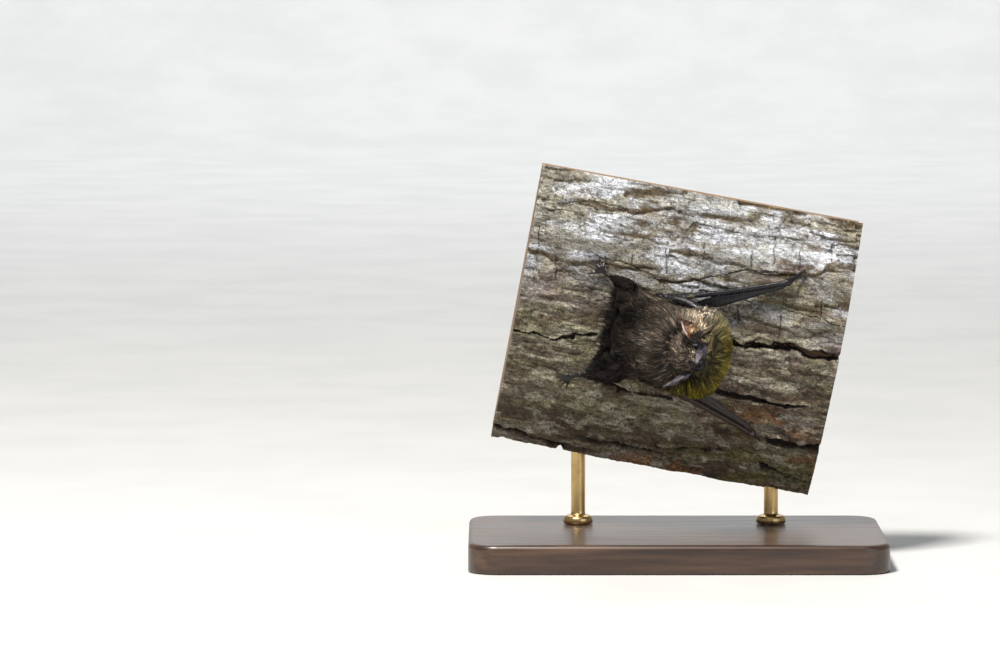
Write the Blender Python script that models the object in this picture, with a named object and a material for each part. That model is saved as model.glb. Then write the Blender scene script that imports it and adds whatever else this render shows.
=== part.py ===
"""A brown proboscis bat at life size, clinging head-down to a piece of tree trunk on a display stand.

Everything on the trunk is drawn in the bat's own frame, in millimetres: u runs along the trunk
from the feet to the head, v across it towards the bat's left side, and n out of the bark.
One empty, trunk_frame, holds that frame in the world, and every piece of the bat is its child.
"""

import math

import bmesh
import bpy
from mathutils import Matrix, Vector

MM = 0.001
GAP = 0.3  # left between two pieces that touch

# --- the trunk and how it hangs in the world -------------------------------------------------
TRUNK_RADIUS = 87.5
PERCH_U = (-22.0, 78.0)
PERCH_HALF_ANGLE = math.radians(30.0)
PERCH_BACK_N = -26.0
TRUNK_SLOPE = math.radians(10.6)  # the head end hangs lower
FACE_LEAN = math.radians(6.5)  # the bark under the bat faces slightly downwards

# --- the display stand -----------------------------------------------------------------------
BASE_SIZE = (128.0, 78.0, 9.0)
BASE_CORNER = 9.0
ROD_RADIUS = 2.2
ROD_INSET = 30.0
COLLAR_RADIUS = 4.6
COLLAR_HEIGHT = 2.6
SOCKET_DEPTH = 9.0
PERCH_FORWARD = 8.0  # of the base's middle, so that the base reaches past the bat's nose
LOWEST_CORNER_ABOVE_BASE = 11.0

# --- the body, coat included -----------------------------------------------------------------
WAIST_U = 23.5  # where the abdomen meets the chest
HEAD_ROOT = Vector((28.8, 0.0, 15.5))
HEAD_AXIS = Vector((6.5, 0.0, 12.4)).normalized()
NECK_END = 3.0  # along the head's axis
EYE_ALONG = 8.6
EYE_OUT = 3.25
EYE_LIFT = 0.55
EYE_RADIUS = 0.95
EAR_LENGTH = 9.0
EAR_HALF_WIDTH = 2.3
EAR_CUP = 1.235  # how far the ear's edges stand forward of its middle
SHEET = 0.6  # thickness of ears and flight membranes
THINNEST_END = 0.2

# Joints of each side. The left and the right limbs are planted a few millimetres apart.
LEFT, RIGHT = "left", "right"
JOINTS = {
    LEFT: {
        "shoulder": (33.0, 13.2, 11.4),
        "upper_arm_end": (24.6, 12.9, 7.9),
        "elbow": (22.3, 13.0, 4.6),
        "wrist": (58.5, 23.7, -0.4),
        "thumb_tip": (62.3, 27.3, -3.9),
        "hip": (14.6, 6.4, 6.4),
        "knee": (10.6, 14.9, 6.9),
        "ankle": (4.1, 15.5, 0.9),
        "toe_base": (1.8, 16.4, -0.5),
        "toe_angles": (-19, 8, 35, 62, 88),
    },
    RIGHT: {
        "shoulder": (32.5, -13.2, 11.4),
        "upper_arm_end": (21.8, -12.9, 7.9),
        "elbow": (19.3, -12.9, 4.6),
        "wrist": (56.3, -25.0, -0.6),
        "thumb_tip": (59.4, -27.4, -3.9),
        "hip": (14.6, -6.4, 6.4),
        "knee": (11.8, -14.0, 6.9),
        "ankle": (0.7, -16.4, 0.9),
        "toe_base": (-1.8, -17.4, -0.5),
        "toe_angles": (2, 19, 37, 58, 80),
    },
}


def joint(side, name):
    return Vector(JOINTS[side][name])


def sign(side):
    return 1.0 if side == LEFT else -1.0


def bark_n(v):
    """Height of the smooth bark at a distance v across the trunk."""
    return math.sqrt(TRUNK_RADIUS**2 - v * v) - TRUNK_RADIUS


# --- materials -------------------------------------------------------------------------------
def material(name, colour, roughness, metallic=0.0):
    made = bpy.data.materials.new(name)
    made.use_nodes = True
    shader = made.node_tree.nodes["Principled BSDF"]
    shader.inputs["Base Color"].default_value = (*colour, 1.0)
    shader.inputs["Roughness"].default_value = roughness
    shader.inputs["Metallic"].default_value = metallic
    made.diffuse_color = (*colour, 1.0)
    return made


def clear_scene():
    for old in list(bpy.data.objects):
        bpy.data.objects.remove(old)


# --- mesh helpers ----------------------------------------------------------------------------
def new_object(name, mesh_builder, finish, parent, smooth_angle=50):
    """A mesh object from a bmesh drawn in millimetres."""
    bmesh.ops.recalc_face_normals(mesh_builder, faces=mesh_builder.faces)
    bmesh.ops.scale(mesh_builder, vec=(MM, MM, MM), verts=mesh_builder.verts)
    mesh = bpy.data.meshes.new(name)
    mesh_builder.to_mesh(mesh)
    mesh_builder.free()
    mesh.shade_smooth()
    mesh.set_sharp_from_angle(angle=math.radians(smooth_angle))
    made = bpy.data.objects.new(name, mesh)
    bpy.context.scene.collection.objects.link(made)
    made.parent = parent
    if finish is not None:
        mesh.materials.append(finish)
    return made


def as_cutter(obj):
    obj.hide_render = True
    obj.display_type = "WIRE"
    return obj


def combine(obj, other, operation):
    """Boolean of obj with other, which stays in the scene as a hidden helper."""
    as_cutter(other)
    modifier = obj.modifiers.new(f"{operation.lower()}_{other.name}", "BOOLEAN")
    modifier.operation = operation
    modifier.solver = "EXACT"
    modifier.object = other
    return obj


def ring(builder, centre, side, up, half_side, half_up, count, power=2.0):
    """Vertices of one superellipse cross-section."""
    made = []
    for step in range(count):
        angle = math.tau * step / count
        c, s = math.cos(angle), math.sin(angle)
        x = math.copysign(abs(c) ** (2 / power), c) * half_side
        y = math.copysign(abs(s) ** (2 / power), s) * half_up
        made.append(builder.verts.new(centre + side * x + up * y))
    return made


def skin_rings(builder, rings):
    """Quads between neighbouring rings and a flat cap at both ends."""
    count = len(rings[0])
    for low, high in zip(rings, rings[1:]):
        for k in range(count):
            nxt = (k + 1) % count
            builder.faces.new((low[k], low[nxt], high[nxt], high[k]))
    builder.faces.new(rings[0][::-1])
    builder.faces.new(rings[-1])


def spline(rows, fraction):
    """A row of numbers at fraction (0 to 1) along rows, on a Catmull-Rom curve."""
    place = fraction * (len(rows) - 1)
    k = min(int(place), len(rows) - 2)
    t = place - k
    before, start, end, after = (rows[max(0, min(len(rows) - 1, k + d))] for d in (-1, 0, 1, 2))
    found = []
    for a, b, c, d in zip(before, start, end, after):
        start_slope = (c - a) / 2
        square = (2 * a - 5 * b + 4 * c - d) / 2
        cube = (3 * b - a - 3 * c + d) / 2
        found.append(b + start_slope * t + square * t**2 + cube * t**3)
    return found


def smoothed(stations, rings):
    return [spline(stations, k / (rings - 1)) for k in range(rings)]


def loft(name, rows, count, finish, parent, grow=0.0, power=2.0, side=None):
    """A closed body with one ring at each row (u, v, n, half width, half height)."""
    builder = bmesh.new()
    centres = [Vector(row[:3]) for row in rows]
    last = len(rows) - 1
    made = []
    for k, row in enumerate(rows):
        along = (centres[min(k + 1, last)] - centres[max(k - 1, 0)]).normalized()
        across = (side or Vector((0, 1, 0))).copy()
        across = (across - along * across.dot(along)).normalized()
        up = along.cross(across)
        centre = centres[k]
        if k in (0, last):
            centre = centre + along * (grow if k else -grow)
        wide, high = (max(half, THINNEST_END) + grow for half in row[3:5])
        made.append(ring(builder, centre, across, up, wide, high, count, power))
    skin_rings(builder, made)
    return new_object(name, builder, finish, parent)


def limb(name, points, radii, finish, parent, count=12, rings=9, grow=0.0):
    """A round limb through points, with one more ring beyond each end to round it off."""
    rows = smoothed([(*point, radius, radius) for point, radius in zip(points, radii)], rings - 2)
    first, second, before_last, last = (Vector(rows[k][:3]) for k in (0, 1, -2, -1))
    start = first - (second - first).normalized() * radii[0] * 0.75
    end = last + (last - before_last).normalized() * radii[-1] * 0.75
    rows.insert(0, (*start, radii[0] * 0.45, radii[0] * 0.45))
    rows.append((*end, radii[-1] * 0.45, radii[-1] * 0.45))
    side = Vector((0, 0, 1)).cross(last - first).normalized()
    return loft(name, rows, count, finish, parent, grow, side=side)


def sheet(name, surface, across, along, finish, parent):
    """A thin closed sheet over surface(a, b), both from 0 to 1."""
    builder = bmesh.new()
    grid = []
    for i in range(across + 1):
        grid.append([builder.verts.new(surface(i / across, j / along)) for j in range(along + 1)])
    for i in range(across):
        for j in range(along):
            builder.faces.new((grid[i][j], grid[i + 1][j], grid[i + 1][j + 1], grid[i][j + 1]))
    made = new_object(name, builder, finish, parent)
    thick = made.modifiers.new("thickness", "SOLIDIFY")
    thick.thickness = SHEET * MM
    thick.offset = 0.0
    return made


def cut_plane(obj, point, normal):
    """Removes what lies on the normal's side of a plane and closes the cut."""
    builder = bmesh.new()
    builder.from_mesh(obj.data)
    everything = builder.verts[:] + builder.edges[:] + builder.faces[:]
    cut = bmesh.ops.bisect_plane(
        builder, geom=everything, dist=1e-7, plane_co=Vector(point) * MM, plane_no=normal, clear_outer=True
    )
    edges = [item for item in cut["geom_cut"] if isinstance(item, bmesh.types.BMEdge)]
    bmesh.ops.edgenet_fill(builder, edges=edges)
    bmesh.ops.recalc_face_normals(builder, faces=builder.faces)
    builder.to_mesh(obj.data)
    builder.free()


# --- torso -----------------------------------------------------------------------------------
TORSO = (  # u, v, n, half width, half height
    (8.3, 0, 3.7, 1.6, 0.9),
    (9.1, 0, 4.2, 5.0, 1.9),
    (12.2, 0, 5.6, 9.4, 3.5),
    (17.0, 0, 7.6, 11.7, 5.2),
    (22.5, 0, 9.9, 12.4, 6.7),
    (28.5, 0, 11.8, 13.2, 7.6),
    (34.5, 0, 13.4, 14.6, 8.2),
    (39.5, 0, 14.6, 13.2, 7.5),
    (43.0, 0, 15.4, 8.6, 5.2),
    (44.6, 0, 15.7, 3.2, 2.2),
)


def torso(name, finish, parent, grow=0.0):
    return loft(name, smoothed(TORSO, 17), 24, finish, parent, grow, power=2.15)


# --- head ------------------------------------------------------------------------------------
HEAD = (  # along the head's axis, half width, half height, lift towards the crown
    (-2.5, 2.4, 2.4, 0.0),
    (-1.0, 4.0, 3.9, 0.0),
    (2.0, 5.5, 5.2, 0.0),
    (5.2, 5.6, 5.2, 0.1),
    (7.8, 4.6, 4.3, 0.1),
    (9.6, 3.2, 3.3, 0.1),
    (11.3, 2.3, 2.5, 0.2),
    (12.9, 1.8, 1.8, 0.4),
    (13.8, 0.8, 0.9, 0.5),
)
CROWN = Vector((-HEAD_AXIS.z, 0, HEAD_AXIS.x))  # from the throat to the crown


def head_point(along, out=0.0, lift=0.0):
    return HEAD_ROOT + HEAD_AXIS * along + CROWN * lift + Vector((0, out, 0))


def whole_head(name, finish, parent, grow=0.0):
    stations = [(*head_point(along, lift=lift), wide, high) for along, wide, high, lift in HEAD]
    return loft(name, smoothed(stations, 15), 20, finish, parent, grow)


def make_head(coat, parent):
    neck = whole_head("neck", coat, parent)
    cut_plane(neck, head_point(NECK_END - GAP / 2), HEAD_AXIS)
    head = whole_head("head", coat, parent)
    cut_plane(head, head_point(NECK_END + GAP / 2), -HEAD_AXIS)
    return head


def eye(name, side, finish, parent, grow=0.0):
    builder = bmesh.new()
    bmesh.ops.create_uvsphere(builder, u_segments=12, v_segments=8, radius=EYE_RADIUS + grow)
    middle = head_point(EYE_ALONG, sign(side) * EYE_OUT, EYE_LIFT)
    bmesh.ops.translate(builder, vec=middle, verts=builder.verts)
    return new_object(name, builder, finish, parent)


def make_ear(side, finish, parent):
    """A narrow pointed leaf, cupped towards the face and spread out and back from the crown."""
    mirror = sign(side)
    root = head_point(5.2, mirror * 5.3, -0.2)
    tip_way = Vector((-0.62, mirror * 0.71, 0.35)).normalized()
    facing = Vector((0.82, mirror * 0.55, 0.16))
    facing = (facing - tip_way * facing.dot(tip_way)).normalized()
    width_way = facing.cross(tip_way)

    def surface(a, b):
        across = 2 * a - 1
        half = EAR_HALF_WIDTH * (0.18 + 1.25 * math.sin(math.pi * (0.16 + 0.84 * b) ** 0.9) ** 0.8)
        half *= 1 - 0.35 * b
        cup = EAR_CUP * (1 - b) ** 0.5 * across**2
        curl_back = 0.9 * b**2
        return root + tip_way * EAR_LENGTH * b + width_way * half * across + facing * (cup - curl_back)

    return sheet(f"ear_{side}", surface, 6, 9, finish, parent)


# --- limbs -----------------------------------------------------------------------------------
def upper_arm(name, side, finish, parent, grow=0.0):
    start, end = joint(side, "shoulder"), joint(side, "upper_arm_end")
    return limb(name, (start, start.lerp(end, 0.5), end), (2.5, 2.2, 1.6), finish, parent, grow=grow)


def make_forearm(side, finish, parent):
    """The long straight radius, a little bowed towards the body, from the elbow to the wrist."""
    elbow, wrist = joint(side, "elbow"), joint(side, "wrist")
    end = elbow.lerp(wrist, 0.955)
    rise = Vector((0, 0, 0.9))
    bow = Vector((0, -0.6 * sign(side), 0.2))
    points = [elbow, elbow.lerp(end, 0.2) + bow * 0.7, elbow.lerp(end, 0.55) + bow, end + rise]
    return limb(f"forearm_{side}", points, (1.25, 0.95, 0.85, 0.85), finish, parent, count=10, rings=10)


def make_folded_hand(side, finish, parent):
    """Wrist knob and the finger bones with their furled membrane, laid back along the forearm."""
    mirror = sign(side)
    elbow, wrist = joint(side, "elbow"), joint(side, "wrist")
    back = (elbow - wrist).normalized()
    inward = Vector((back.y, -back.x, 0)).normalized() * mirror
    if inward.y * mirror > 0:
        inward = -inward
    stations = []
    # distance back from the wrist, shift towards the body, height over the bark, half width, half height
    rows = (
        (-1.3, 0.0, 1.5, 0.5, 0.5),
        (-0.2, 0.0, 1.55, 1.25, 1.1),
        (1.2, 0.5, 1.35, 1.15, 0.95),
        (4.0, 1.25, 1.25, 0.95, 0.85),
        (10.0, 2.0, 1.5, 1.05, 0.95),
        (17.0, 2.75, 1.8, 1.35, 1.1),
        (23.0, 3.3, 2.0, 1.75, 1.25),
        (28.5, 4.0, 2.0, 1.6, 1.2),
        (30.5, 4.3, 2.0, 0.7, 0.6),
    )
    for distance, shift, height, wide, high in rows:
        place = wrist + back * distance + inward * shift
        stations.append((place.x, place.y, bark_n(place.y) + height + GAP, wide, high))
    side_way = Vector((0, 0, 1)).cross(back)
    return loft(f"folded_wing_{side}", smoothed(stations, 17), 10, finish, parent, side=side_way)


def make_thumb(side, finish, parent):
    wrist, tip = joint(side, "wrist"), joint(side, "thumb_tip")
    start = wrist + (tip - wrist).normalized() * 2.4
    middle = start.lerp(tip, 0.5) + Vector((0, 0, 0.45))
    radii = (0.45, 0.38, 0.26)
    return limb(f"thumb_{side}", (start, middle, tip), radii, finish, parent, count=8, rings=8)


def thigh(name, side, finish, parent, grow=0.0):
    hip, knee = joint(side, "hip"), joint(side, "knee")
    return limb(name, (hip, hip.lerp(knee, 0.5), knee), (2.7, 2.5, 2.0), finish, parent, grow=grow)


def shank(name, side, finish, parent, grow=0.0):
    knee, ankle = joint(side, "knee"), joint(side, "ankle")
    start = knee.lerp(ankle, 0.12)
    points = (start, start.lerp(ankle, 0.5), ankle.lerp(knee, 0.06))
    return limb(name, points, (1.45, 1.1, 0.75), finish, parent, rings=8, grow=grow)


def make_foot(side, finish, parent):
    """Sole and five toes that fan out over the bark, each ending in a claw."""
    mirror = sign(side)
    ankle, base = joint(side, "ankle"), joint(side, "toe_base")
    heel = ankle.lerp(base, 0.42)
    sole = (heel, heel.lerp(base, 0.5), base)
    foot = limb(f"foot_{side}", sole, (0.62, 0.8, 0.85), finish, parent, count=10, rings=7)
    for number, degrees in enumerate(JOINTS[side]["toe_angles"]):
        angle = math.radians(degrees)
        way = Vector((-math.cos(angle), mirror * math.sin(angle), 0))
        knuckle = base + way * 2.3
        claw_root = base + way * 3.4
        tip = base + way * 4.5
        knuckle.z = bark_n(knuckle.y) + 1.2
        claw_root.z = bark_n(claw_root.y) + 0.95
        tip.z = bark_n(tip.y) + GAP + 0.3
        toe = limb(
            f"toe_{side}_{number + 1}",
            (base + way * 0.3, knuckle, claw_root, tip),
            (0.42, 0.38, 0.34, 0.26),
            finish,
            parent,
            count=6,
            rings=6,
        )
        combine(foot, toe, "UNION")
    return foot


# --- flight membranes and tail ---------------------------------------------------------------
def make_tail_membrane(finish, parent):
    """Sheet between the hind legs. Its free edge sags in towards the rump."""
    left, right = joint(LEFT, "ankle"), joint(RIGHT, "ankle")
    free_edge_u, under_rump_u = 5.4, 12.2
    half_at_ankles, half_under_rump = 13.4, 8.4

    def surface(a, b):
        span = 2 * a - 1
        corner = left.x if span > 0 else right.x
        edge_u = free_edge_u + (corner - 0.3 - free_edge_u) * abs(span) ** 3
        v = span * (half_at_ankles + (half_under_rump - half_at_ankles) * b)
        u = edge_u + (under_rump_u - edge_u) * b
        return Vector((u, v, bark_n(v) * 0.8 + 1.0 + 0.15 * math.cos(9 * span)))

    return sheet("tail_membrane", surface, 14, 3, finish, parent)


def make_side_membrane(side, finish, parent):
    """Furled wing skin between the flank and the arm, lying close to the bark in low pleats."""
    mirror = sign(side)
    elbow = joint(side, "elbow")

    def surface(a, b):
        u = 12.9 + 13.6 * a
        outer = 12.9 - 0.9 * math.sin(math.pi * a) + max(0.0, u - elbow.x) * 0.1
        v = mirror * (8.2 + (outer - 8.2) * b)
        return Vector((u, v, bark_n(v) * 0.7 + 1.55 + 0.18 * math.cos(14 * b)))

    return sheet(f"wing_membrane_{side}", surface, 8, 6, finish, parent)


def make_tail(finish, parent):
    points = ((7.1, 0, 2.6), (6.2, 0, 2.45), (5.2, 0, 2.3))
    return limb("tail", points, (0.6, 0.5, 0.4), finish, parent, count=8, rings=6)


# --- trunk piece and stand -------------------------------------------------------------------
def bark_relief(u, arc):
    """Depth of the long plates and fissures below the smooth trunk, in millimetres."""
    fissure = math.sin(0.42 * arc + 0.8 * math.sin(0.055 * u + 1.1) + 0.4)
    ripple = math.sin(0.9 * arc + 0.21 * u) * math.sin(0.13 * u - 0.3 * arc)
    return -0.35 - 0.3 * fissure - 0.2 * ripple


def make_perch(bark, parent):
    """A cut length of the trunk, split off behind: curved bark in front, flat wood at the back."""
    builder = bmesh.new()
    columns, rows = 16, 20
    grid = []
    for i in range(columns + 1):
        u = PERCH_U[0] + (PERCH_U[1] - PERCH_U[0]) * i / columns
        line = []
        for j in range(rows + 1):
            angle = PERCH_HALF_ANGLE * (2 * j / rows - 1)
            radius = TRUNK_RADIUS + bark_relief(u, TRUNK_RADIUS * angle)
            height = radius * math.cos(angle) - TRUNK_RADIUS
            line.append(builder.verts.new((u, radius * math.sin(angle), height)))
        grid.append(line)
    for i in range(columns):
        for j in range(rows):
            builder.faces.new((grid[i][j], grid[i + 1][j], grid[i + 1][j + 1], grid[i][j + 1]))
    rim = [line[0] for line in grid]
    rim += grid[-1][1:]
    rim += [line[-1] for line in grid[-2::-1]]
    rim += grid[0][-2:0:-1]
    foot = [builder.verts.new((vert.co.x, vert.co.y, PERCH_BACK_N)) for vert in rim]
    for k in range(len(rim)):
        nxt = (k + 1) % len(rim)
        builder.faces.new((rim[k], foot[k], foot[nxt], rim[nxt]))
    builder.faces.new(foot)
    return new_object("perch_trunk_piece", builder, bark, parent, smooth_angle=35)


def turned(name, profile, count, finish, location):
    """A body turned about a vertical axis from (radius, height) pairs, in millimetres."""
    builder = bmesh.new()
    rings = []
    x_way, y_way = Vector((1, 0, 0)), Vector((0, 1, 0))
    for radius, height in profile:
        rings.append(ring(builder, Vector((0, 0, height)), x_way, y_way, radius, radius, count))
    skin_rings(builder, rings)
    made = new_object(name, builder, finish, None, smooth_angle=35)
    made.location = Vector(location) * MM
    return made


def rod_profile(length, grow=0.0):
    shaft = ROD_RADIUS + grow
    if grow:
        return [(shaft, 0.0), (shaft, length + grow)]
    return [
        (COLLAR_RADIUS, 0.0),
        (COLLAR_RADIUS, COLLAR_HEIGHT - 0.6),
        (COLLAR_RADIUS - 0.6, COLLAR_HEIGHT),
        (shaft, COLLAR_HEIGHT),
        (shaft, length - 0.4),
        (shaft - 0.4, length),
    ]


def perch_underside_z(x, to_world):
    """Height of the perch's lower edge at a world x, all in millimetres."""
    edge_v = -TRUNK_RADIUS * math.sin(PERCH_HALF_ANGLE)
    ends = [to_world @ Vector((u, edge_v, rod_n())) for u in PERCH_U]
    share = (x - ends[0].x) / (ends[1].x - ends[0].x)
    return ends[0].z + (ends[1].z - ends[0].z) * share


def rod_n():
    """The rods enter the lower edge midway between its bark and the split back."""
    edge_bark = TRUNK_RADIUS * (math.cos(PERCH_HALF_ANGLE) - 1)
    return (edge_bark + PERCH_BACK_N) / 2


def make_stand(perch, wood, metal, to_world):
    builder = bmesh.new()
    corner_steps = 6
    outline = []
    half_x, half_y = BASE_SIZE[0] / 2 - BASE_CORNER, BASE_SIZE[1] / 2 - BASE_CORNER
    for quarter, (sx, sy) in enumerate(((1, 1), (-1, 1), (-1, -1), (1, -1))):
        for step in range(corner_steps + 1):
            angle = math.pi / 2 * (quarter + step / corner_steps)
            x = sx * half_x + BASE_CORNER * math.cos(angle)
            y = sy * half_y + BASE_CORNER * math.sin(angle)
            outline.append(builder.verts.new((x, y, 0)))
    bottom = builder.faces.new(outline)
    raised = bmesh.ops.extrude_face_region(builder, geom=[bottom])
    top = [item for item in raised["geom"] if isinstance(item, bmesh.types.BMVert)]
    bmesh.ops.translate(builder, vec=(0, 0, BASE_SIZE[2]), verts=top)
    base = new_object("stand_base", builder, wood, None, smooth_angle=35)
    edge = base.modifiers.new("soft_edges", "BEVEL")
    edge.width = 1.2 * MM
    edge.segments = 2
    edge.limit_method = "ANGLE"
    edge.angle_limit = math.radians(50)

    for number, x in enumerate((-ROD_INSET, ROD_INSET)):
        foot_z = BASE_SIZE[2] + GAP
        middle = to_world @ Vector(((PERCH_U[0] + PERCH_U[1]) / 2, 0, rod_n()))
        entry = perch_underside_z(x, to_world)
        # the perch leans, so its lower edge is further forward than its middle
        y = middle.y + math.sin(FACE_LEAN) * TRUNK_RADIUS * math.sin(PERCH_HALF_ANGLE)
        length = entry - foot_z + SOCKET_DEPTH
        turned(f"stand_rod_{number + 1}", rod_profile(length), 20, metal, (x, y, foot_z))
        socket = turned(f"socket_{number + 1}", rod_profile(length, GAP), 20, None, (x, y, foot_z))
        combine(perch, socket, "DIFFERENCE")


# --- assembly --------------------------------------------------------------------------------
def frame_in_world():
    """The bat's frame in the world, in millimetres: rotation, and the height that clears the base."""
    facing = Vector((0, -math.cos(FACE_LEAN), -math.sin(FACE_LEAN)))
    rise = Vector((0, -math.sin(FACE_LEAN), math.cos(FACE_LEAN)))
    level = Vector((1, 0, 0))
    along = level * math.cos(TRUNK_SLOPE) - rise * math.sin(TRUNK_SLOPE)
    across = level * math.sin(TRUNK_SLOPE) + rise * math.cos(TRUNK_SLOPE)
    turn = Matrix((along, across, facing)).transposed().to_4x4()
    half_v = TRUNK_RADIUS * math.sin(PERCH_HALF_ANGLE)
    middle_u = (PERCH_U[0] + PERCH_U[1]) / 2
    lowest = turn @ Vector((PERCH_U[1] - middle_u, -half_v, PERCH_BACK_N))
    height = BASE_SIZE[2] + LOWEST_CORNER_ABOVE_BASE - lowest.z
    return Matrix.Translation((0, -PERCH_FORWARD, height)) @ turn @ Matrix.Translation((-middle_u, 0, 0))


def main():
    clear_scene()
    coat = material("brown_fur", (0.05, 0.038, 0.028), 0.85)
    ear_skin = material("ear_skin", (0.09, 0.06, 0.045), 0.55)
    wing_skin = material("wing_skin", (0.022, 0.019, 0.02), 0.5)
    eye_black = material("eye", (0.008, 0.006, 0.005), 0.12)
    bark = material("bark", (0.17, 0.15, 0.125), 0.9)
    stand_wood = material("stand_wood", (0.045, 0.025, 0.016), 0.35)
    brass = material("stand_brass", (0.56, 0.42, 0.2), 0.3, 1.0)

    to_world = frame_in_world()
    frame = bpy.data.objects.new("trunk_frame", None)
    bpy.context.scene.collection.objects.link(frame)
    in_metres = to_world.copy()
    in_metres.translation = to_world.translation * MM
    frame.matrix_world = in_metres

    chest = torso("chest", coat, frame)
    cut_plane(chest, (WAIST_U + GAP / 2, 0, 10), Vector((-1, 0, 0)))
    abdomen = torso("abdomen", coat, frame)
    cut_plane(abdomen, (WAIST_U - GAP / 2, 0, 10), Vector((1, 0, 0)))
    head = make_head(coat, frame)
    head_room = whole_head("head_room", None, frame, GAP)
    ruff_room = torso("ruff_room", None, frame, GAP)
    combine(chest, head_room, "DIFFERENCE")

    for side in (LEFT, RIGHT):
        eye(f"eye_{side}", side, eye_black, frame)
        combine(head, eye(f"eye_room_{side}", side, None, frame, GAP), "DIFFERENCE")
        ear = make_ear(side, ear_skin, frame)
        combine(ear, head_room, "DIFFERENCE")
        combine(ear, ruff_room, "DIFFERENCE")

        upper_arm(f"upper_arm_{side}", side, coat, frame)
        arm_room = upper_arm(f"arm_room_{side}", side, None, frame, GAP)
        combine(chest, arm_room, "DIFFERENCE")
        combine(abdomen, arm_room, "DIFFERENCE")
        make_forearm(side, wing_skin, frame)
        make_folded_hand(side, wing_skin, frame)
        make_thumb(side, wing_skin, frame)
        make_side_membrane(side, wing_skin, frame)

        upper_leg = thigh(f"thigh_{side}", side, coat, frame)
        combine(abdomen, thigh(f"thigh_room_{side}", side, None, frame, GAP), "DIFFERENCE")
        shank(f"shank_{side}", side, wing_skin, frame)
        combine(upper_leg, shank(f"shank_room_{side}", side, None, frame, GAP), "DIFFERENCE")
        make_foot(side, wing_skin, frame)

    make_tail_membrane(wing_skin, frame)
    make_tail(wing_skin, frame)
    perch = make_perch(bark, frame)
    make_stand(perch, stand_wood, brass, to_world)


main()
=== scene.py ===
# %% [markdown]
# # A brown bat on a piece of tree trunk
#
# The model is a proboscis bat at life size. It clings along a trunk with its back to the viewer,
# and throws its head back so far that the face looks straight out. The construction, with every
# real size, is already packed as a fixed frame of plain solids. This lesson dresses that frame:
# one skin, a coat of fur, eyes, claws, bark and a display stand.
#
# Nothing of the frame is moved. Each new piece is placed from the solids that it replaces.

# %% Load the frame
import math

import bmesh
import bpy
import numpy as np
from mathutils import Matrix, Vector
from mathutils.bvhtree import BVHTree
from mathutils.kdtree import KDTree


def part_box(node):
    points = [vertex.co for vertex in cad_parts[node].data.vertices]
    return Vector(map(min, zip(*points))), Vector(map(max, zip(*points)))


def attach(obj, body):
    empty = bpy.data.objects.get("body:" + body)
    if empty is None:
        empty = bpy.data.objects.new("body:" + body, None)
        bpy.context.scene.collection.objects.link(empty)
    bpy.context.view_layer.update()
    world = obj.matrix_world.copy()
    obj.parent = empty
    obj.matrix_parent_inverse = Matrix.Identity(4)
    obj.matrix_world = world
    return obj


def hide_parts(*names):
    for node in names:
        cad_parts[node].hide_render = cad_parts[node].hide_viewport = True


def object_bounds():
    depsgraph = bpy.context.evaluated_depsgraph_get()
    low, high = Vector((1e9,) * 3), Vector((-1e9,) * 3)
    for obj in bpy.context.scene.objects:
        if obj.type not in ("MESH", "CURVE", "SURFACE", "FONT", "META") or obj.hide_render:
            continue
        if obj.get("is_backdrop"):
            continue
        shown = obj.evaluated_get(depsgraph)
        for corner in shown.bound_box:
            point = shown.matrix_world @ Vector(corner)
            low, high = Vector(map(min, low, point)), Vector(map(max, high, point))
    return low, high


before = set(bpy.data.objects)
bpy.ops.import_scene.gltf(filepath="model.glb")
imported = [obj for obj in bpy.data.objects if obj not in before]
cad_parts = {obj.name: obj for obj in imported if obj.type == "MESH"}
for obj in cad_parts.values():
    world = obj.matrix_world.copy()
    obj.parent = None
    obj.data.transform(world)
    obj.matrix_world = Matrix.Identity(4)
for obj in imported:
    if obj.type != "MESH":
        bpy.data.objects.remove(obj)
cad_box = [list(corner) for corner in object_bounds()]
print("solids in the frame:", len(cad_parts), "box:", np.round(cad_box, 4).tolist())

# %% [markdown]
# ## The bat's own millimetres
#
# The trunk slopes, so it is easier to think along it. In the local frame u runs along the trunk
# from the feet to the head, v across it towards the bat's left, and n out of the bark, all in
# millimetres. Three unit rows turn world positions into (u, v, n) and back again. The origin is
# found from the trunk piece itself: its tail end, its middle and its flat back are known sizes.

# %% Local frame
MM = 0.001
TRUNK_RADIUS = 87.5
TRUNK_SLOPE = math.radians(10.6)
FACE_LEAN = math.radians(6.5)
FEET_FROM_TAIL_END = 22.0
BARK_FROM_BACK = 26.0

out_way = np.array([0, -math.cos(FACE_LEAN), -math.sin(FACE_LEAN)])
rise_way = np.array([0, -math.sin(FACE_LEAN), math.cos(FACE_LEAN)])
level_way = np.array([1.0, 0, 0])
AXES = np.array(
    [
        level_way * math.cos(TRUNK_SLOPE) - rise_way * math.sin(TRUNK_SLOPE),
        level_way * math.sin(TRUNK_SLOPE) + rise_way * math.cos(TRUNK_SLOPE),
        out_way,
    ]
)


def node_corners(name):
    """The vertices of a solid of the frame, in world metres."""
    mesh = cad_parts[name].data
    flat = np.zeros(len(mesh.vertices) * 3)
    mesh.vertices.foreach_get("co", flat)
    return flat.reshape(-1, 3)


turned = node_corners("perch_trunk_piece") @ AXES.T / MM
perch_low, perch_high = turned.min(0), turned.max(0)
middle_mm = (perch_low[1] + perch_high[1]) / 2
origin_mm = np.array([perch_low[0] + FEET_FROM_TAIL_END, middle_mm, perch_low[2] + BARK_FROM_BACK])
ORIGIN = origin_mm @ AXES * MM


def to_world(points):
    """Local millimetres to world metres."""
    return np.asarray(points, float) @ AXES * MM + ORIGIN


def to_local(points):
    """World metres to local millimetres."""
    return (np.asarray(points, float) - ORIGIN) @ AXES.T / MM


def spot(name):
    """The middle of a solid, in local millimetres."""
    return to_local(node_corners(name)).mean(0)


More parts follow.
